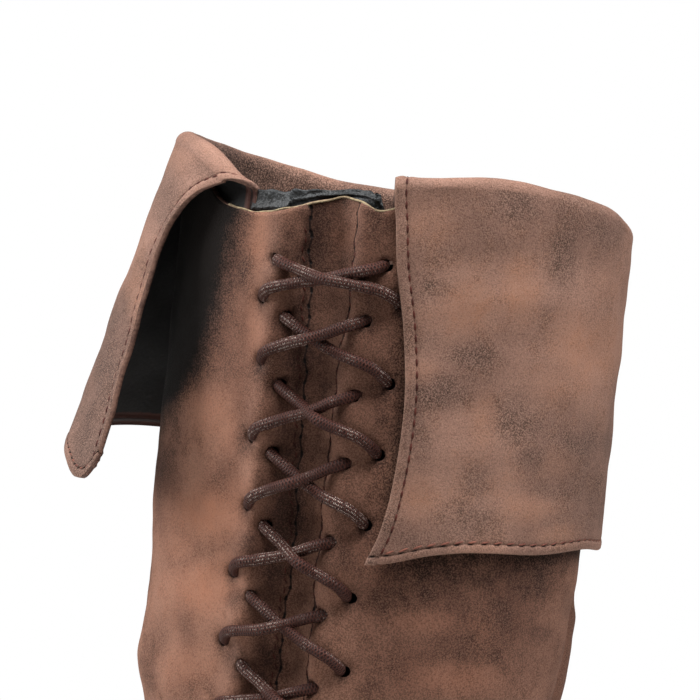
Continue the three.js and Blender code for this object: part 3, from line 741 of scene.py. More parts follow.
print("materials")
shaftLeather = distressedLeather(
    "shaft_leather", leatherLook,
    lines=(("leftSeam", 0.45, 0.95), ("rightSeam", 0.58, 0.95), ("backSeam", 0.5, 0.9), ("vampSeam", 0.5, 0.9)),
    dots=(("leftSeam", "upAlong", 4.6, 0.62), ("rightSeam", "upAlong", 5.2, 0.7)))
cuffLeather = distressedLeather(
    "cuff_leather", cuffLook, worn="edgeGap", lines=(("stitchLine", 0.4, 0.3), ("hemLine", 0.4, 0.3)),
    dots=(("hemLine", "hemAlong", 4.7, 0.9),))
cutEdge = rawEdge("cut_leather_edge", linear(158, 142, 110), linear(104, 84, 62))
rolledEdge = rawEdge("rolled_leather_edge", linear(132, 98, 83), linear(80, 54, 45))
blackLining = plainFinish("black_lining", (linear(16, 14, 13), linear(30, 30, 31)), 0.62, 700, specular=0.3)
backing = flapBacking()
linerFinish = plainFinish("crinkled_liner", (linear(10, 10, 10), linear(36, 39, 41)), 0.45, 420, 0.0012)
seamThread = plainFinish("red_brown_thread", (linear(58, 24, 18), linear(86, 40, 31)), 0.6, 1800, specular=0.25)
hemThread = plainFinish("hem_thread", (linear(100, 48, 35), linear(134, 78, 60)), 0.6, 1800)
rubberFinish = plainFinish("sole_rubber", (linear(34, 28, 26), linear(48, 40, 37)), 0.62, 900)
midsoleFinish = plainFinish("midsole_edge", (linear(52, 36, 29), linear(78, 56, 44)), 0.45, 600, 0.00015, 0.2)
laceFinish = waxedBraid()
sockFinish = wovenSock()


# ---- upper

# Numbers from (start, end, step) stretches laid one after the other.
def spaced(*stretches):
    stops = [np.arange(start, end, step) for start, end, step in stretches]
    return np.concatenate(stops + [[stretches[-1][1]]])


# The boot's plain form: rings round the foot, smoothed between its sections, then rings up the shaft.
def plainNet(turns, levels, rises):
    rings = [soleLoop(turns, boot["weltReach"], featherLift)]
    rings += [footRing(turns, section) for section in footSections]
    rings += [shaftPoint(turns, rise) for rise in (0, 0.06)]
    foot = []
    for level in levels:
        lower = min(int(level), len(footSections))
        before, start, end, after = (rings[index] for index in (max(lower - 1, 0), lower, lower + 1, lower + 2))
        foot.append(bent(start, end, (end - before) / 2, (after - start) / 2, level - lower))
    return np.concatenate([foot, shaftPoint(turns[None, :], rises[:, None])])


# The plain form with its creases and reliefs, which fade in above the ankle's line and the sole.
def upperNet(turns, levels, rises):
    net = plainNet(turns, levels, rises)
    height = net[..., 2]
    keep = eased(np.arange(len(net))[:, None] / 6)
    onShaft = eased((height - boot["throat"]) / 24)
    relief = np.where(onShaft > 0, shaftRelief(net, np.broadcast_to(turns, net.shape[:2])), 0)
    relief = relief * onShaft + footRelief(net) + softWaves(net, 15, 0.35) * (1 - onShaft)
    return net + netNormals(net, True) * (relief * keep)[..., None]


# Where the quarters join the vamp: in mm along the foot, in front of the seam where it is more than 0.
def vampField(place):
    return (heelBack - place[..., 1] - 146 + 0.52 * (boot["throat"] - place[..., 2])) * 0.88


print("upper")
upperTurns = spaced((0, 9, 0.5), (9, 46, 0.92), (46, 176, 2.6), (176, 184, 0.5), (184, 314, 2.6),
                    (314, 351, 0.92), (351, 360, 0.5))
upperShape = upperNet(upperTurns, np.arange(0, 10, 0.17), spaced((0, 0.3, 0.0125), (0.3, 1, 0.0056)))
upperX, upperY, upperZ = (upperShape[..., axis] for axis in range(3))
farAway = 30 * np.where(upperX < 0, -1.0, 1.0)
overFront = (upperY < 0) & (upperZ > 127) & (np.abs(upperX) < 30)
onFoot = upperZ < 126
upperValues = {name: np.where(overFront, upperX - seamAt(column, upperZ), farAway)
               for name, column in (("leftSeam", 1), ("rightSeam", 2))}
upperValues["backSeam"] = np.where((upperY > 30) & (upperZ > 36), upperX, farAway)
upperValues["vampSeam"] = np.where(onFoot, vampField(upperShape), -30.0)
upperValues["upAlong"] = upperZ + 1.1 * np.sin(upperZ / 2.9)

# Edge of the painted black shadow under the left flap, as (down, across) in the photograph's pixels.
flapShadowEdge = [
    (180, 250), (215, 234), (250, 224), (285, 216), (320, 208), (350, 199), (380, 186), (410, 168),
    (450, 154), (500, 146),
]
# Dark patches and painted shade on the shaft, as read off the photograph: across, down, reach across, reach
# down, strength.
shaftDarkAndShade = [
    (165, 465, 13, 24, 0.45), (243, 440, 10, 18, 0.5), (262, 480, 9, 14, 0.7), (252, 545, 11, 13, 0.75),
    (236, 600, 12, 12, 0.7), (236, 655, 14, 16, 0.7), (160, 640, 12, 22, 0.4), (222, 335, 12, 18, 0.45),
    (478, 578, 38, 12, 0.75), (540, 634, 16, 14, 0.75), (430, 657, 26, 10, 0.55), (396, 640, 20, 18, 0.5),
    (500, 664, 15, 14, 0.5), (370, 690, 26, 18, 0.6), (360, 588, 22, 16, 0.5), (565, 600, 12, 26, 0.5),
    (242, 214, 16, 26, 0.7), (233, 268, 16, 34, 0.65), (224, 320, 14, 30, 0.45), (204, 365, 16, 30, 0.4),
    (176, 425, 12, 20, 0.35), (244, 225, 14, 20, 0.5), (150, 660, 10, 40, 0.35), (216, 300, 24, 70, 0.45),
    (290, 245, 20, 30, 0.85), (375, 300, 16, 24, 0.5), (350, 380, 20, 26, 0.4), (380, 420, 14, 30, 0.55),
]
# Warm patches and painted light on the shaft, in the same columns.
shaftWarmAndLight = [
    (208, 515, 36, 26, 1), (203, 588, 34, 26, 0.9), (186, 665, 26, 22, 0.45), (212, 410, 22, 26, 0.45),
    (258, 235, 10, 34, 0.6), (455, 678, 42, 16, 0.7), (425, 622, 34, 12, 0.45), (480, 628, 16, 20, 0.4),
    (256, 330, 9, 34, 0.5), (228, 430, 14, 24, 0.4), (236, 500, 14, 22, 0.55), (224, 570, 12, 22, 0.5),
    (341, 240, 12, 14, 0.5), (180, 545, 16, 20, 0.5), (340, 590, 10, 16, 0.3), (318, 520, 10, 16, 0.3),
]


# Shade round the four holes of a row, as strength and reach.
holeShade = ((0.8, 3.8), (0.8, 3.6), (0.75, 3), (0.85, 4.4))


# How much each place on the shaft gets of painted black shadow, of painted shade with dark patches, and of
# painted light with warm patches.
def shaftTones(place, turn):
    signed = signedTurn(turn)
    x, height = place[..., 0], place[..., 2]
    across, down = pictureSpot(place)
    facing = eased((np.cos(np.radians(signed - photoView["azimuth"])) + 0.15) / 0.3)
    facing = facing * eased((height - 150) / 60)
    # Painted shadow of the cuff on the shaft below its hem.
    hem = crestAt(turn) - boot["cuffDepth"] * rimAt(5, turn)
    cuffShadow = 0.62 * eased((height - hem + 24) / 30)
    # Painted black shadow of the left flap on the shaft under it.
    flapShadow = eased((onCurve(flapShadowEdge, 1, down) - across) / 58 + 0.6) * eased((height - 290) / 44)
    flapShadow = flapShadow * eased((330 - across) / 30)
    leftSide = (signed < 0) & (signed > -100)
    paintedShadow = np.where(signed >= 0, cuffShadow * eased((signed - 14) / 14), cuffShadow)
    paintedShadow = np.where(leftSide, mixed(flapShadow, cuffShadow, eased((-signed - 72) / 24)), paintedShadow)
    front = (place[..., 1] < 0) * eased((height - 120) / 50)
    # Painted shade in the trough between the lace ridges, and on the outer side below the cuff.
    trough = 0.76 * hump(x + 8, 5.2) + 0.55 * hump(x - 2, 8)
    outerSideShade = 0.42 * eased((signed - 3) / 10) * eased((112 - signed) / 40)
    darkPatchAndShade = np.maximum(np.minimum(trough, 1) * front, outerSideShade * eased((height - 110) / 60))
    for row in range(1, laceRowCount + 2):
        for hole, (strength, reach) in zip(holesOf(row), holeShade):
            gap = np.hypot(x - hole[0], (height - hole[1] + 1.2) / 1.2)
            darkPatchAndShade = np.maximum(darkPatchAndShade, strength * hump(gap, reach) * front)
    return {"paintedShadow": np.clip(paintedShadow, 0, 1), "warmPatchAndLight": patchesOver(shaftWarmAndLight, place, facing),
            "darkPatchAndShade": np.maximum(darkPatchAndShade, patchesOver(shaftDarkAndShade, place, facing))}


upperValues.update(shaftTones(upperShape, np.broadcast_to(upperTurns, upperX.shape)))
upper = gridPiece("upper_leather", upperShape, values=upperValues, holes=allHoles)
addWall(upper, boot["wall"], -1, back=1, edge=2)
finished(upper, "upper_leather", "upper", materials=(shaftLeather, blackLining, rolledEdge))


# ---- the front panel's cut edge

creamEdge = {"start": -32, "end": 19, "sides": 10, "reach": 0.6, "height": 0.36, "inwards": 0.35}


# A tube of points round a path, its sides turned as little as the path allows.
def tubeNet(path, radius, sides):
    along = np.gradient(path, axis=0)
    along /= np.linalg.norm(along, axis=1, keepdims=True)
    side = np.array([1.0, 0.0, 0.2])
    frames = []
    for direction in along:
        side = side - direction * np.dot(side, direction)
        side = side / np.linalg.norm(side)
        frames.append(side)
    side = np.array(frames)
    outward = np.cross(along, side)
    angles = np.linspace(0, 2 * math.pi, sides + 1)
    spokes = (side[:, None] * np.cos(angles)[None, :, None] + outward[:, None] * np.sin(angles)[None, :, None])
    return path[:, None] + radius * spokes, angles


def capped(net, path):
    caps = [np.broadcast_to(path[end], net[0].shape)[None] for end in (0, -1)]
    return np.concatenate([caps[0], net, caps[1]])


def edgeBead():
    signed = np.arange(creamEdge["start"], creamEdge["end"], 0.5)
    path = shaftPoint(np.mod(signed, 360), 1.0, creamEdge["inwards"] - boot["wall"] / 2)
    path[:, 2] += 0.1 + 0.25 * np.sin(signed / 2.7) + 0.15 * np.sin(signed / 1.1)
    offset = tubeNet(path, 1, creamEdge["sides"])[0] - path[:, None]
    offset[..., 2] *= creamEdge["height"]
    offset[..., :2] *= creamEdge["reach"] * (1 + 0.15 * np.sin(signed / 0.9))[:, None, None]
    return capped(path[:, None] + offset, path)


finished(gridPiece("cut_edge", edgeBead()), "upper_leather", materials=(cutEdge,))


# ---- cuff

print("cuff")
cuffForm = {"edgeBand": 3.7, "hemBand": 3.0, "waves": 0.7, "foldSlant": 7.3, "girth": 390, "hang": 121}
downStops = 1 - np.concatenate([
    [0, 0.4, 1.0, 1.8, 2.5, 3.0, 3.5, 4.2, 5.2, 6.5], np.arange(8, 120, 1.5)]) / cuffForm["hang"]
downStops = np.append(downStops[downStops > 0.004], 0)
foldAngles = np.arange(0, 169, 12)
insideStops = np.array([0, 0.08, 0.2, 0.35, 0.5, 0.65, 0.8, 0.92, 1])
edgeStops = np.array([0, 0.5, 1.1, 1.8, 2.6, 3.2, 3.7, 4.2, 4.9, 6, 7.4])
middleStops = np.concatenate([np.arange(9.2, 160, 1.7), np.arange(161, 290, 3.2), np.arange(291, 380.5, 1.7)])
cuffColumns = np.concatenate([
    edgeStops / cuffForm["girth"], middleStops / cuffForm["girth"], 1 - edgeStops[::-1] / cuffForm["girth"]])


# A row of the cuff's middle line: outside by the share of the way down, over the fold by its angle, or
# inside by the share of the facing.
def cuffPlace(share, kind, value):
    down = value if kind == "outside" else 0.0
    leftEnd = onCurve(freeEdges, 2, down)
    if kind != "outside":
        leftEnd = leftEnd + cuffForm["foldSlant"] * (eased(value / 130) if kind == "fold" else 1)
    turn = mixed(onCurve(freeEdges, 1, down), leftEnd, share)
    inner = -(boot["wall"] + boot["gap"] + boot["cuffWall"] / 2)
    outer = boot["gap"] + boot["cuffWall"] / 2 + boot["cuffDepth"] * rimAt(4, turn)
    radius = (outer - inner) / 2
    spring = crestAt(turn) - boot["cuffWall"] / 2 - radius
    flare = boot["cuffDepth"] * rimAt(3, turn)
    length = boot["cuffDepth"] * rimAt(5, turn)
    fall = np.sqrt(length ** 2 - flare ** 2) - radius
    if kind == "outside":
        out, height = outer + flare * value, spring - fall * value
    elif kind == "fold":
        out = (inner + outer) / 2 + radius * np.cos(np.radians(value))
        height = spring + radius * np.sin(np.radians(value))
    else:
        out, height = inner + 0 * turn, spring - boot["facing"] * value
    point = shaftPoint(turn, np.ones(turn.shape), out)
    point[..., 2] = height
    return point, turn


cuffRows = [("outside", down) for down in downStops]
cuffRows += [("fold", angle) for angle in foldAngles[1:]]
cuffRows += [("inside", down) for down in insideStops]
cuffShape, cuffTurns = (np.array(each) for each in zip(*(cuffPlace(cuffColumns, *row) for row in cuffRows)))
rowPastFold = np.arange(len(cuffRows))[:, None] - len(downStops)
onOutside = rowPastFold < 0
steps = np.linalg.norm(np.diff(cuffShape, axis=1), axis=-1)
fromRight = np.concatenate([np.zeros((len(cuffShape), 1)), np.cumsum(steps, axis=1)], axis=1)
fromEdge = np.minimum(fromRight, fromRight[:, -1:] - fromRight)
rises = np.linalg.norm(np.diff(cuffShape, axis=0), axis=-1)
fromHem = np.concatenate([np.zeros((1, cuffShape.shape[1])), np.cumsum(rises, axis=0)])
cuffRelief = softWaves(cuffShape + 20, 15, cuffForm["waves"]) + softWaves(cuffShape, 6, 0.14)
cuffRelief = cuffRelief * eased(fromHem / 20) - 0.45 * hump(fromEdge - cuffForm["edgeBand"], 0.6)
cuffRelief = cuffRelief + 0.25 * eased(1 - np.abs(fromEdge - 1.8) / 2.2)
hemRelief = -0.4 * hump(fromHem - cuffForm["hemBand"], 0.55) + 0.2 * eased(1 - np.abs(fromHem - 1.4) / 1.8)
cuffRelief = cuffRelief + np.where(onOutside, hemRelief, 0)
cuffRelief = np.where(onOutside | (fromEdge < 6), cuffRelief, cuffRelief * 0.5)
cuffNormals = netNormals(cuffShape, False)
cuffSurface = cuffShape + cuffNormals * cuffRelief[..., None]
# Dark patches and painted shade on the cuff, as read off the photograph.
cuffDarkAndShade = [
    (515, 202, 24, 20, 0.8), (563, 264, 16, 32, 0.75), (425, 290, 32, 15, 0.6), (470, 356, 28, 13, 0.7),
    (438, 392, 32, 17, 0.7), (512, 420, 24, 28, 0.85), (470, 522, 36, 24, 0.8), (475, 482, 17, 22, 0.7),
    (585, 442, 32, 14, 0.5), (528, 456, 16, 12, 0.6), (545, 492, 22, 10, 0.4), (600, 232, 22, 14, 0.35),
    (420, 342, 22, 12, 0.45), (420, 440, 16, 26, 0.4), (168, 200, 18, 40, 0.85), (110, 385, 16, 50, 0.85),
    (215, 165, 26, 10, 0.4), (90, 432, 26, 52, 0.85), (122, 330, 16, 40, 0.6), (600, 500, 12, 30, 0.3),
    (250, 168, 60, 14, 0.8), (450, 540, 60, 12, 0.4), (590, 300, 14, 60, 0.3),
]
# Warm patches and painted light on the cuff, as read off the photograph.
cuffWarmAndLight = [
    (465, 306, 28, 26, 0.8), (518, 290, 20, 32, 0.85), (585, 346, 34, 38, 0.9), (420, 372, 18, 12, 0.5),
    (484, 420, 14, 28, 0.6), (525, 508, 30, 16, 0.7), (418, 498, 20, 22, 0.7), (555, 535, 24, 12, 0.6),
    (555, 385, 22, 22, 0.5), (430, 225, 28, 24, 0.5), (555, 462, 18, 16, 0.4), (140, 300, 12, 30, 0.5),
    (180, 160, 18, 14, 0.4), (600, 290, 20, 26, 0.4),
]
cuffFacing = eased((np.cos(np.radians(cuffTurns - photoView["azimuth"])) + 0.5) / 0.3) * onOutside
# Painted shade down the inside of the facing, and painted shadow, deepest towards its left.
insideShade = 0.85 * (1 - onOutside) * eased((rowPastFold - 6) / 8)
facingShade = (1 - onOutside) * eased((rowPastFold - 5) / 6)
bandDusk = 0.35 * onOutside * eased((cuffForm["edgeBand"] - fromRight) / 0.8)
cuffValues = {
    "stitchLine": fromEdge - cuffForm["edgeBand"],
    "hemLine": np.where(onOutside, fromHem - cuffForm["hemBand"], 9),
    "hemAlong": fromRight,
    "edgeGap": np.minimum(fromEdge, np.where(onOutside, fromHem, 99)),
    "darkPatchAndShade": np.maximum(np.maximum(patchesOver(cuffDarkAndShade, cuffShape, cuffFacing), insideShade), bandDusk),
    "warmPatchAndLight": 0.72 * patchesOver(cuffWarmAndLight, cuffShape, cuffFacing),
    "paintedShadow": facingShade * (0.2 + 0.22 * hump(pictureSpot(cuffShape)[0] - 230, 90)),
}
cuff = gridPiece("cuff_leather", cuffSurface, weld=False, values=cuffValues)
addWall(cuff, boot["cuffWall"], 0, back=1, edge=2)
finished(cuff, "cuff_leather", "cuff", materials=(cuffLeather, backing, rolledEdge))


# ---- lining

print("lining")
liningForm = {"wall": 0.8, "gap": 0.35, "laceRoom": 6.2, "ankleRoom": 5, "footRoom": 2.8, "hidden": 30}
# turn, and height of the lining's loose edge over the front
linerTop = [
    (-30, 402.8), (-24, 403.8), (-16, 405.2), (-8, 406.3), (0, 407.9), (6, 409), (11, 409.2), (16, 408.4),
]


# The lining inside the upper, with a loose crumpled edge that shows between the two flaps.
def liningNet():
    turns = spaced((0, 30, 0.7), (30, 330, 3), (330, 360, 0.7))
    net = plainNet(turns, np.arange(0.6, 10, 0.3), spaced((0, 1, 0.02)))
    height = net[..., 2]
    signed = signedTurn(turns)
    room = hump(net[..., 0] - 1, 26) * mixed(0.3, 1, eased((400 - height) / 12)) * eased((height - 120) / 20)
    room = liningForm["laceRoom"] * np.where(net[..., 1] < 0, room, 0)
    ankle = liningForm["ankleRoom"] * eased((262 - height) / 30) * eased((height - 92) / 20)
    foot = liningForm["footRoom"] * eased((112 - height) / 20)
    inset = boot["wall"] + liningForm["gap"] + np.maximum(room, ankle + foot)
    net = net - netNormals(net, True) * inset[..., None]
    bare = eased((signed + 27) / 2.5) * eased((16.5 - signed) / 2.5)
    loose = onCurve(linerTop, 1, signed) + 0.3 * np.sin(signed / 1.9) + 0.2 * np.sin(signed / 0.8)
    top = mixed(crestAt(turns) - liningForm["hidden"], loose, bare)
    rows = []
    for share in np.linspace(0.1, 1, 10):
        row = net[-1].copy()
        row[:, 2] = mixed(row[:, 2], loose, share)
        crinkle = 0.25 * np.sin(signed / 0.62 + 5 * share) * share + 0.25 * np.sin(signed / 1.7 - 3 * share)
        row[:, 1] += (crinkle - 0.9 * hump(share - 0.45 - 0.012 * signed, 0.16)) * bare
        rows.append(row)
    net = np.concatenate([net, np.array(rows)])
    net[..., 2] -= np.maximum(net[..., 2] - top, 0) * (bare < 0.999)
    return net


lining = gridPiece("boot_lining", liningNet())
addWall(lining, liningForm["wall"], -1)
finished(lining, "insole_lining", materials=(linerFinish,))


# ---- lace

print("lace")
lace = {
    "diameter": 4.0, "sides": 12, "step": 0.7, "lift": 2.1, "over": 3.3, "overReach": 0.17, "bow": 2.6,
    "inHole": (0.6, -1.4, -3.6),
}


# A place on the plain leather over the front.
def plainFront(across, height):
    turn, rise = frontPlace(across, height)
    point = shaftPoint(turn, rise)
    point[..., 0], point[..., 2] = across, height
    return point, turn


# A place on the finished leather over the front, and the leather's own direction out.
def leatherPlace(across, height):
    point, turn = plainFront(across, height)
    sideways = plainFront(across + 1.5, height)[0] - plainFront(across - 1.5, height)[0]
    upwards = plainFront(across, height + 1.5)[0] - plainFront(across, height - 1.5)[0]
    normal = np.cross(sideways, upwards)
    normal /= np.linalg.norm(normal, axis=-1, keepdims=True)
    return point + normal * shaftRelief(point, np.mod(turn, 360))[..., None], normal


# One visible stretch from hole to hole, pulled straight over the hollows. It bows up most near its
# outer end, where bowPeak brings the bow's curve up to 1.
def strand(start, end, raised):
    bowPeak = 12.2
    share = np.linspace(0, 1, 25)
    point, normal = leatherPlace(mixed(start[0], end[0], share), mixed(start[1], end[1], share))
    loose = point + normal * lace["lift"]
    depth = loose[:, 1].copy()
    for first in range(len(share)):
        for last in range(first + 2, len(share)):
            inner = np.arange(first + 1, last)
            chord = mixed(loose[first, 1], loose[last, 1], (inner - first) / (last - first))
            depth[inner] = np.minimum(depth[inner], chord)
    loose[:, 1] = depth - lace["over"] * raised * hump(share - 0.5, lace["overReach"])
    loose[:, 2] += lace["bow"] * bowPeak * share ** 4 * (1 - share)
    return list(loose[2:-2])


def holeRun(hole, inward):
    point, normal = leatherPlace(np.array([hole[0]]), np.array([hole[1]]))
    return [point[0] + normal[0] * depth for depth in lace["inHole"][::1 if inward else -1]]


# One half of the lace, from its top hole down through every row to the holes of the bar.
def strandRun(fromLeft):
    path = []
    for row in range(1, laceRowCount + 1):
        inLeft, inRight, outLeft, outRight = holesOf(row)
        start, end = (inLeft, outRight) if fromLeft else (inRight, outLeft)
        over = (row % 2 == 1) == fromLeft
        path += holeRun(start, False) + strand(start, end, 1.0 if over else 0.0) + holeRun(end, True)
        fromLeft = not fromLeft
    return path


def lengthsAlong(points):
    return np.concatenate([[0], np.cumsum(np.linalg.norm(np.diff(points, axis=0), axis=1))])


# What rows of numbers kept along a path are at other lengths along it.
def readAlong(at, lengths, rows):
    return np.stack([np.interp(at, lengths, rows[:, axis]) for axis in range(3)], -1)


def smoothPath(points, step):
    points = np.array(points)
    for _ in range(2):
        points[1:-1] = points[1:-1] * 0.6 + (points[:-2] + points[2:]) * 0.2
    lengths = lengthsAlong(points)
    return readAlong(np.arange(0, lengths[-1], step), lengths, points)


barLeft, barRight = holesOf(laceRowCount + 1)[:2]
lacePath = smoothPath(
    strandRun(True) + holeRun(barRight, False) + strand(barLeft, barRight, 0.0)[::-1]
    + holeRun(barLeft, True) + strandRun(False)[::-1], lace["step"])
laceLength = np.arange(len(lacePath)) * lace["step"]
laceNet, laceAngles = tubeNet(lacePath, lace["diameter"] / 2, lace["sides"])
uneven = 0.03 * np.sin(laceLength / 2.9) + 0.02 * np.sin(laceLength / 1.3 + 2)
laceNet = capped(laceNet + (laceNet - lacePath[:, None]) * uneven[:, None, None], lacePath)
alongField = np.concatenate([[0], laceLength, laceLength[-1:]])[:, None] + 0 * laceAngles
aroundField = np.broadcast_to(laceAngles / (2 * math.pi), alongField.shape)
lacePiece = gridPiece("boot_lace", laceNet, values={"along": alongField, "around": aroundField})
crossNames = [f"lace_cross_{row}" for row in range(1, laceRowCount + 1)]
finished(lacePiece, "lace", *crossNames, "lace_bar", materials=(laceFinish,))


# ---- stitches

# Each stitch is a short bead of thread laid along its line.
def stitchPiece(name, stitches, slot, material):
    bead = bmesh.new()
    bmesh.ops.create_uvsphere(bead, u_segments=6, v_segments=5, radius=0.5,
                              matrix=Matrix.Rotation(math.pi / 2, 4, "Y"))
    pattern = bpy.data.meshes.new("stitch")
    bead.to_mesh(pattern)
    bead.free()
    work = bmesh.new()
    for place, along, outward, length, width in stitches:
        sides = [along * length * mm, np.cross(outward, along) * width * mm, outward * width * mm]
        one = pattern.copy()
        one.transform(Matrix(np.column_stack(sides + [(place + shaftPlace) * mm]).tolist() + [(0, 0, 0, 1)]))
        work.from_mesh(one)
        bpy.data.meshes.remove(one)
    bpy.data.meshes.remove(pattern)
    mesh = bpy.data.meshes.new(name)
    released(work, mesh)
    finished(placed(name, mesh), slot, materials=(material,))


# Pitch, length, width, lift off the leather and tilt, as a share of the length, of each seam's stitches.
stitchSizes = {
    "front": (3.4, 2.3, 0.6, 0.0, 0.3), "back": (3.6, 2.5, 0.6, 0.0, 0.0), "vamp": (3.2, 2.3, 0.6, 0.05, 0.0),
    "flap": (4.0, 2.8, 1.15, -0.05, 0.0), "hem": (4.7, 3.3, 0.75, -0.05, 0.22),
    "welt": (4.2, 3.1, 0.8, 0.1, 0.0),
}


# The stitches of a seam along a line of points on the leather.
def stitchesAlong(points, outward, seam):
    pitch, length, width, lift, tilt = stitchSizes[seam]
    points, outward = np.array(points), np.array(outward)
    lengths = lengthsAlong(points)
    stitches = []
    for place in np.arange(pitch / 2, lengths[-1] - pitch / 4, pitch):
        here = readAlong(place, lengths, points)
        out = readAlong(place, lengths, outward)
        out /= np.linalg.norm(out)
        along = readAlong(place + 0.5, lengths, points) - here
        along -= out * np.dot(along, out)
        along /= np.linalg.norm(along)
        along = along + np.cross(out, along) * tilt
        along /= np.linalg.norm(along)
        stitches.append((here + out * lift, along, out, length, width))
    return stitches


# Points and outward directions where a field over the upper's net passes through 0, column by column.
def crossings(field, columns):
    places, outs = [], []
    for column in columns:
        signs = np.where(np.diff(np.sign(field[:, column])) != 0)[0]
        if len(signs):
            row = signs[-1]
            share = field[row, column] / (field[row, column] - field[row + 1, column])
            places.append(mixed(upperShape[row, column], upperShape[row + 1, column], share))
            outs.append(upperNormals[row, column])
    return places, outs


print("stitches")
upperNormals = netNormals(upperShape, True)
seamStitches = []
for column, aside in ((1, -0.9), (2, 0.9)):
    heights = np.arange(142, 397, 1.5)
    seamStitches += stitchesAlong(*leatherPlace(seamAt(column, heights) + aside, heights), "front")
backColumn = int(np.argmin(np.abs(upperTurns - 180)))
for column in (backColumn - 2, backColumn + 2):
    seamStitches += stitchesAlong(upperShape[8:-24, column], upperNormals[8:-24, column], "back")
vampPlace = np.where(onFoot, vampField(upperShape), -99.0)
for aside in (-1.5, -3.6):
    for start, end in ((24, 170), (190, 336)):
        columns = [column for column, turn in enumerate(upperTurns) if start < turn < end]
        seamStitches += stitchesAlong(*crossings(vampPlace - aside, columns), "vamp")
stitchPiece("seam_stitches", seamStitches, "upper_leather", seamThread)

cuffFace = cuffSurface + cuffNormals * boot["cuffWall"] / 2
flapStitches = []
for fromLeft in (False, True):
    places, outs = [], []
    for row in range(4, len(cuffRows) - 2):
        where = fromRight[row, -1] - cuffForm["edgeBand"] if fromLeft else cuffForm["edgeBand"]
        column = np.interp(where, fromRight[row], np.arange(fromRight.shape[1]))
        low = int(column)
        surface = mixed(cuffSurface[row, low], cuffSurface[row, low + 1], column - low)
        places.append(surface + cuffNormals[row, low] * boot["cuffWall"] / 2)
        outs.append(cuffNormals[row, low])
    flapStitches += stitchesAlong(places, outs, "flap")
stitchPiece("flap_stitches", flapStitches, "cuff_leather", seamThread)

hemRow = int(np.argmin(np.abs(fromHem[:, 60] - cuffForm["hemBand"])))
hemStitches = stitchesAlong(cuffFace[hemRow, 6:-6], cuffNormals[hemRow, 6:-6], "hem")
stitchPiece("hem_stitches", hemStitches, "cuff_leather", hemThread)


# ---- sole

print("sole")
soleForm = {
    "turnStep": 0.5, "ribPitch": 5.4, "ribDepth": 1.1, "border": 7, "treadStart": 158, "treadEnd": 286,
    "heelLength": 80, "heelBorder": 6, "breastHollow": 2.2,
}
# The edges of the sole's layers as (inset from the foot's outline, height) from below upwards.
outsoleProfile = [
    (1.5, 0), (1.0, 0.12), (0.4, 0.5), (0.08, 1.1), (0, 1.8), (0, 2.9), (0.3, 3.1), (0.3, 3.3), (0, 3.5),
    (0, 4.5), (0.2, 4.85), (0.7, 5),
]
midsoleProfile = [
    (1.9, 5.3), (1.35, 5.5), (1.2, 6), (1.2, 8.5), (1.4, 9.05), (2, 9.3), (2.6, 9.3), (2.95, 9.0),
    (3.25, 9.0), (3.6, 9.3), (5, 9.3),
]
heelProfile = [
    (3.6, 0), (3.15, 0.3), (3, 0.9), (3, 6), (3.6, 6.15), (3.6, 6.45), (3, 6.6), (2.6, 11.8), (2.9, 12),
    (2.55, 12.2), (2.1, 17.5), (2.4, 17.7), (2.05, 17.9), (1.6, 23.4), (1.9, 23.7),
]


# Ribs across the tread, cut upwards into the walking face inside its plain border.
def ribs(along, across, fromEdge, border):
    wave = np.sin((along + 1.6 * np.sin(across / 5.5)) * 2 * math.pi / soleForm["ribPitch"])
    return soleForm["ribDepth"] * eased((wave - 0.05) / 0.45) * eased((fromEdge - border) / 1.5)


def plateNet(profile, ribbed):
    turns = np.arange(0, 360.01, soleForm["turnStep"])

    def inwards(inset, lift, share):
        loop = soleLoop(turns, inset, lift)
        middle = (loop + loop[::-1]) / 2
        row = mixed(middle, loop, share)
        forward = heelBack - row[:, 1]
        row[:, 2] = soleUnderside(forward) + lift
        if ribbed and lift == 0:
            gap = (1 - share) * np.linalg.norm(loop - middle, axis=1)
            ends = eased((forward - soleForm["treadStart"]) / 2) * eased((soleForm["treadEnd"] - forward) / 2)
            row[:, 2] += ribs(forward, row[:, 0], gap, soleForm["border"]) * ends
        return row
    rows = [inwards(*profile[0], share) for share in np.linspace(0, 1, 30 if ribbed else 4)]
    rows += [soleLoop(turns, inset, lift) for inset, lift in profile[1:]]
    rows += [inwards(*profile[-1], share) for share in (0.66, 0.33, 0)]
    return np.array(rows)


def heelNet():
    length = soleForm["heelLength"]
    breast = math.degrees(math.acos(2 * length / boot["soleLength"] - 1))
    arc = np.linspace(breast, 360 - breast, 121)

    def loopAt(inset, height):
        bend = outlinePoint(arc, inset)
        share = np.linspace(0, 1, 31)[1:, None]
        front = mixed(bend[-1], bend[0], share)
        front[:, 1] += soleForm["breastHollow"] * np.sin(math.pi * share[:, 0])
        return np.insert(np.concatenate([bend, front]), 2, height, axis=1)
    middle = np.array([loopAt(3, 0)[:, 0].mean(), heelBack - length / 2, 0.0])
    foot = loopAt(*heelProfile[0])
    rows = []
    for share in np.linspace(0, 1, 36):
        row = mixed(middle, foot, share)
        gap = (1 - share) * np.linalg.norm(foot - middle, axis=1)
        row[:, 2] += ribs(row[:, 1], row[:, 0], gap, soleForm["heelBorder"])
        rows.append(row)
    rows += [loopAt(inset, height) for inset, height in heelProfile[1:]]
    lid = np.array([middle[0], middle[1], heelProfile[-1][1]])
    rows += [mixed(lid, rows[-1], share) for share in (0.5, 0)]
    return np.array(rows)


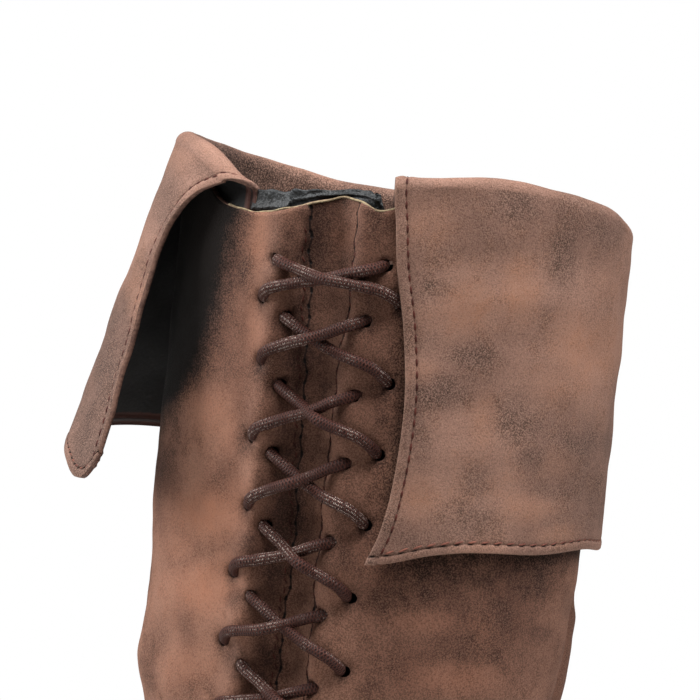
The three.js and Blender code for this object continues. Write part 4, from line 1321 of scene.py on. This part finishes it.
for name, net, slot, solid, material in (
        ("rubber_outsole", plateNet(outsoleProfile, True), "sole_rubber", "outsole", rubberFinish),
        ("stacked_heel", heelNet(), "sole_rubber", "heel", rubberFinish),
        ("stitched_midsole", plateNet(midsoleProfile, False), "midsole_edge", "midsole", midsoleFinish)):
    finished(gridPiece(name, net), slot, solid, materials=(material,))
weltLine = soleLoop(np.arange(0, 360, 1.5), 3.1, 9.02)
upright = np.broadcast_to([0.0, 0.0, 1.0], weltLine.shape)
stitchPiece("welt_stitches", stitchesAlong(weltLine, upright, "welt"), "midsole_edge", hemThread)
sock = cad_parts["insole"].data
sock.materials.clear()
sock.materials.append(sockFinish)


# ---- floor, light and camera

print("studio")
# Lamps by azimuth and elevation in degrees, size in metres and power in watts.
studio = {
    "floorRadius": 0.9, "floorFade": (0.42, 0.88), "fill": 0.06, "lampDistance": 1.3,
    "lamps": {"left_key": (-76, 18, 0.5, 16), "overhead": (24, 74, 0.7, 29),
              "right_side": (106, 34, 0.6, 11), "front_fill": (0, 40, 0.7, 2.5)},
}


# A pale floor that turns clear far from the boot, so its rim isn't seen.
def paleFloor():
    bench = Bench("pale_floor")
    bench.finish(colour=linear(232, 230, 227), roughness=0.7)
    away = bench.node("ShaderNodeVectorMath", {"operation": "LENGTH", "out": "Value"}, {0: bench.objectPlace})
    clear = bench.node("ShaderNodeBsdfTransparent", {}, {})
    both = bench.node("ShaderNodeMixShader", {}, {
        0: bench.step(away, *studio["floorFade"]), 1: Value(bench, bench.shader.outputs[0]), 2: clear})
    bench.join(bench.tree.nodes["Material Output"].inputs["Surface"], both)
    return bench.material


floorData = bpy.data.meshes.new("floor")
disc = bmesh.new()
bmesh.ops.create_circle(disc, cap_ends=True, segments=96, radius=studio["floorRadius"])
disc.to_mesh(floorData)
disc.free()
floorData.materials.append(paleFloor())
floor = placed("floor", floorData)

# The air is white to the camera and lights the boot only a little.
world = bpy.data.worlds.new("studio_air")
world.use_nodes = True
bpy.context.scene.world = world
air = world.node_tree
background = air.nodes["Background"]
lightPath = air.nodes.new("ShaderNodeLightPath")
brightness = air.nodes.new("ShaderNodeMapRange")
brightness.inputs["To Min"].default_value = studio["fill"]
air.links.new(lightPath.outputs["Is Camera Ray"], brightness.inputs["Value"])
air.links.new(brightness.outputs[0], background.inputs["Strength"])
background.inputs["Color"].default_value = (1, 1, 1, 1)

aim = Vector((np.array(photoView["aim"]) + shaftPlace) * mm)
for name, (azimuth, elevation, size, power) in studio["lamps"].items():
    lamp = bpy.data.lights.new(name, "AREA")
    lamp.shape = "RECTANGLE"
    lamp.size = lamp.size_y = size
    lamp.energy = power
    box = placed(name, lamp)
    back = Vector(towards(azimuth, elevation))
    box.location = aim + back * studio["lampDistance"]
    box.rotation_euler = (-back).to_track_quat("-Z", "Y").to_euler()

camera = bpy.data.cameras.new("photo_camera")
camera.sensor_width = photoView["sensor"]
camera.lens = photoView["lens"]
view = placed("photo_camera", camera)
place = aim + Vector(viewFrame()[2]) * photoView["distance"] * mm
view.matrix_world = Matrix(np.column_stack([*viewFrame(), place]).tolist() + [(0, 0, 0, 1)])
bpy.context.scene.camera = view
bpy.context.scene.view_settings.view_transform = "Standard"

bpy.context.view_layer.update()
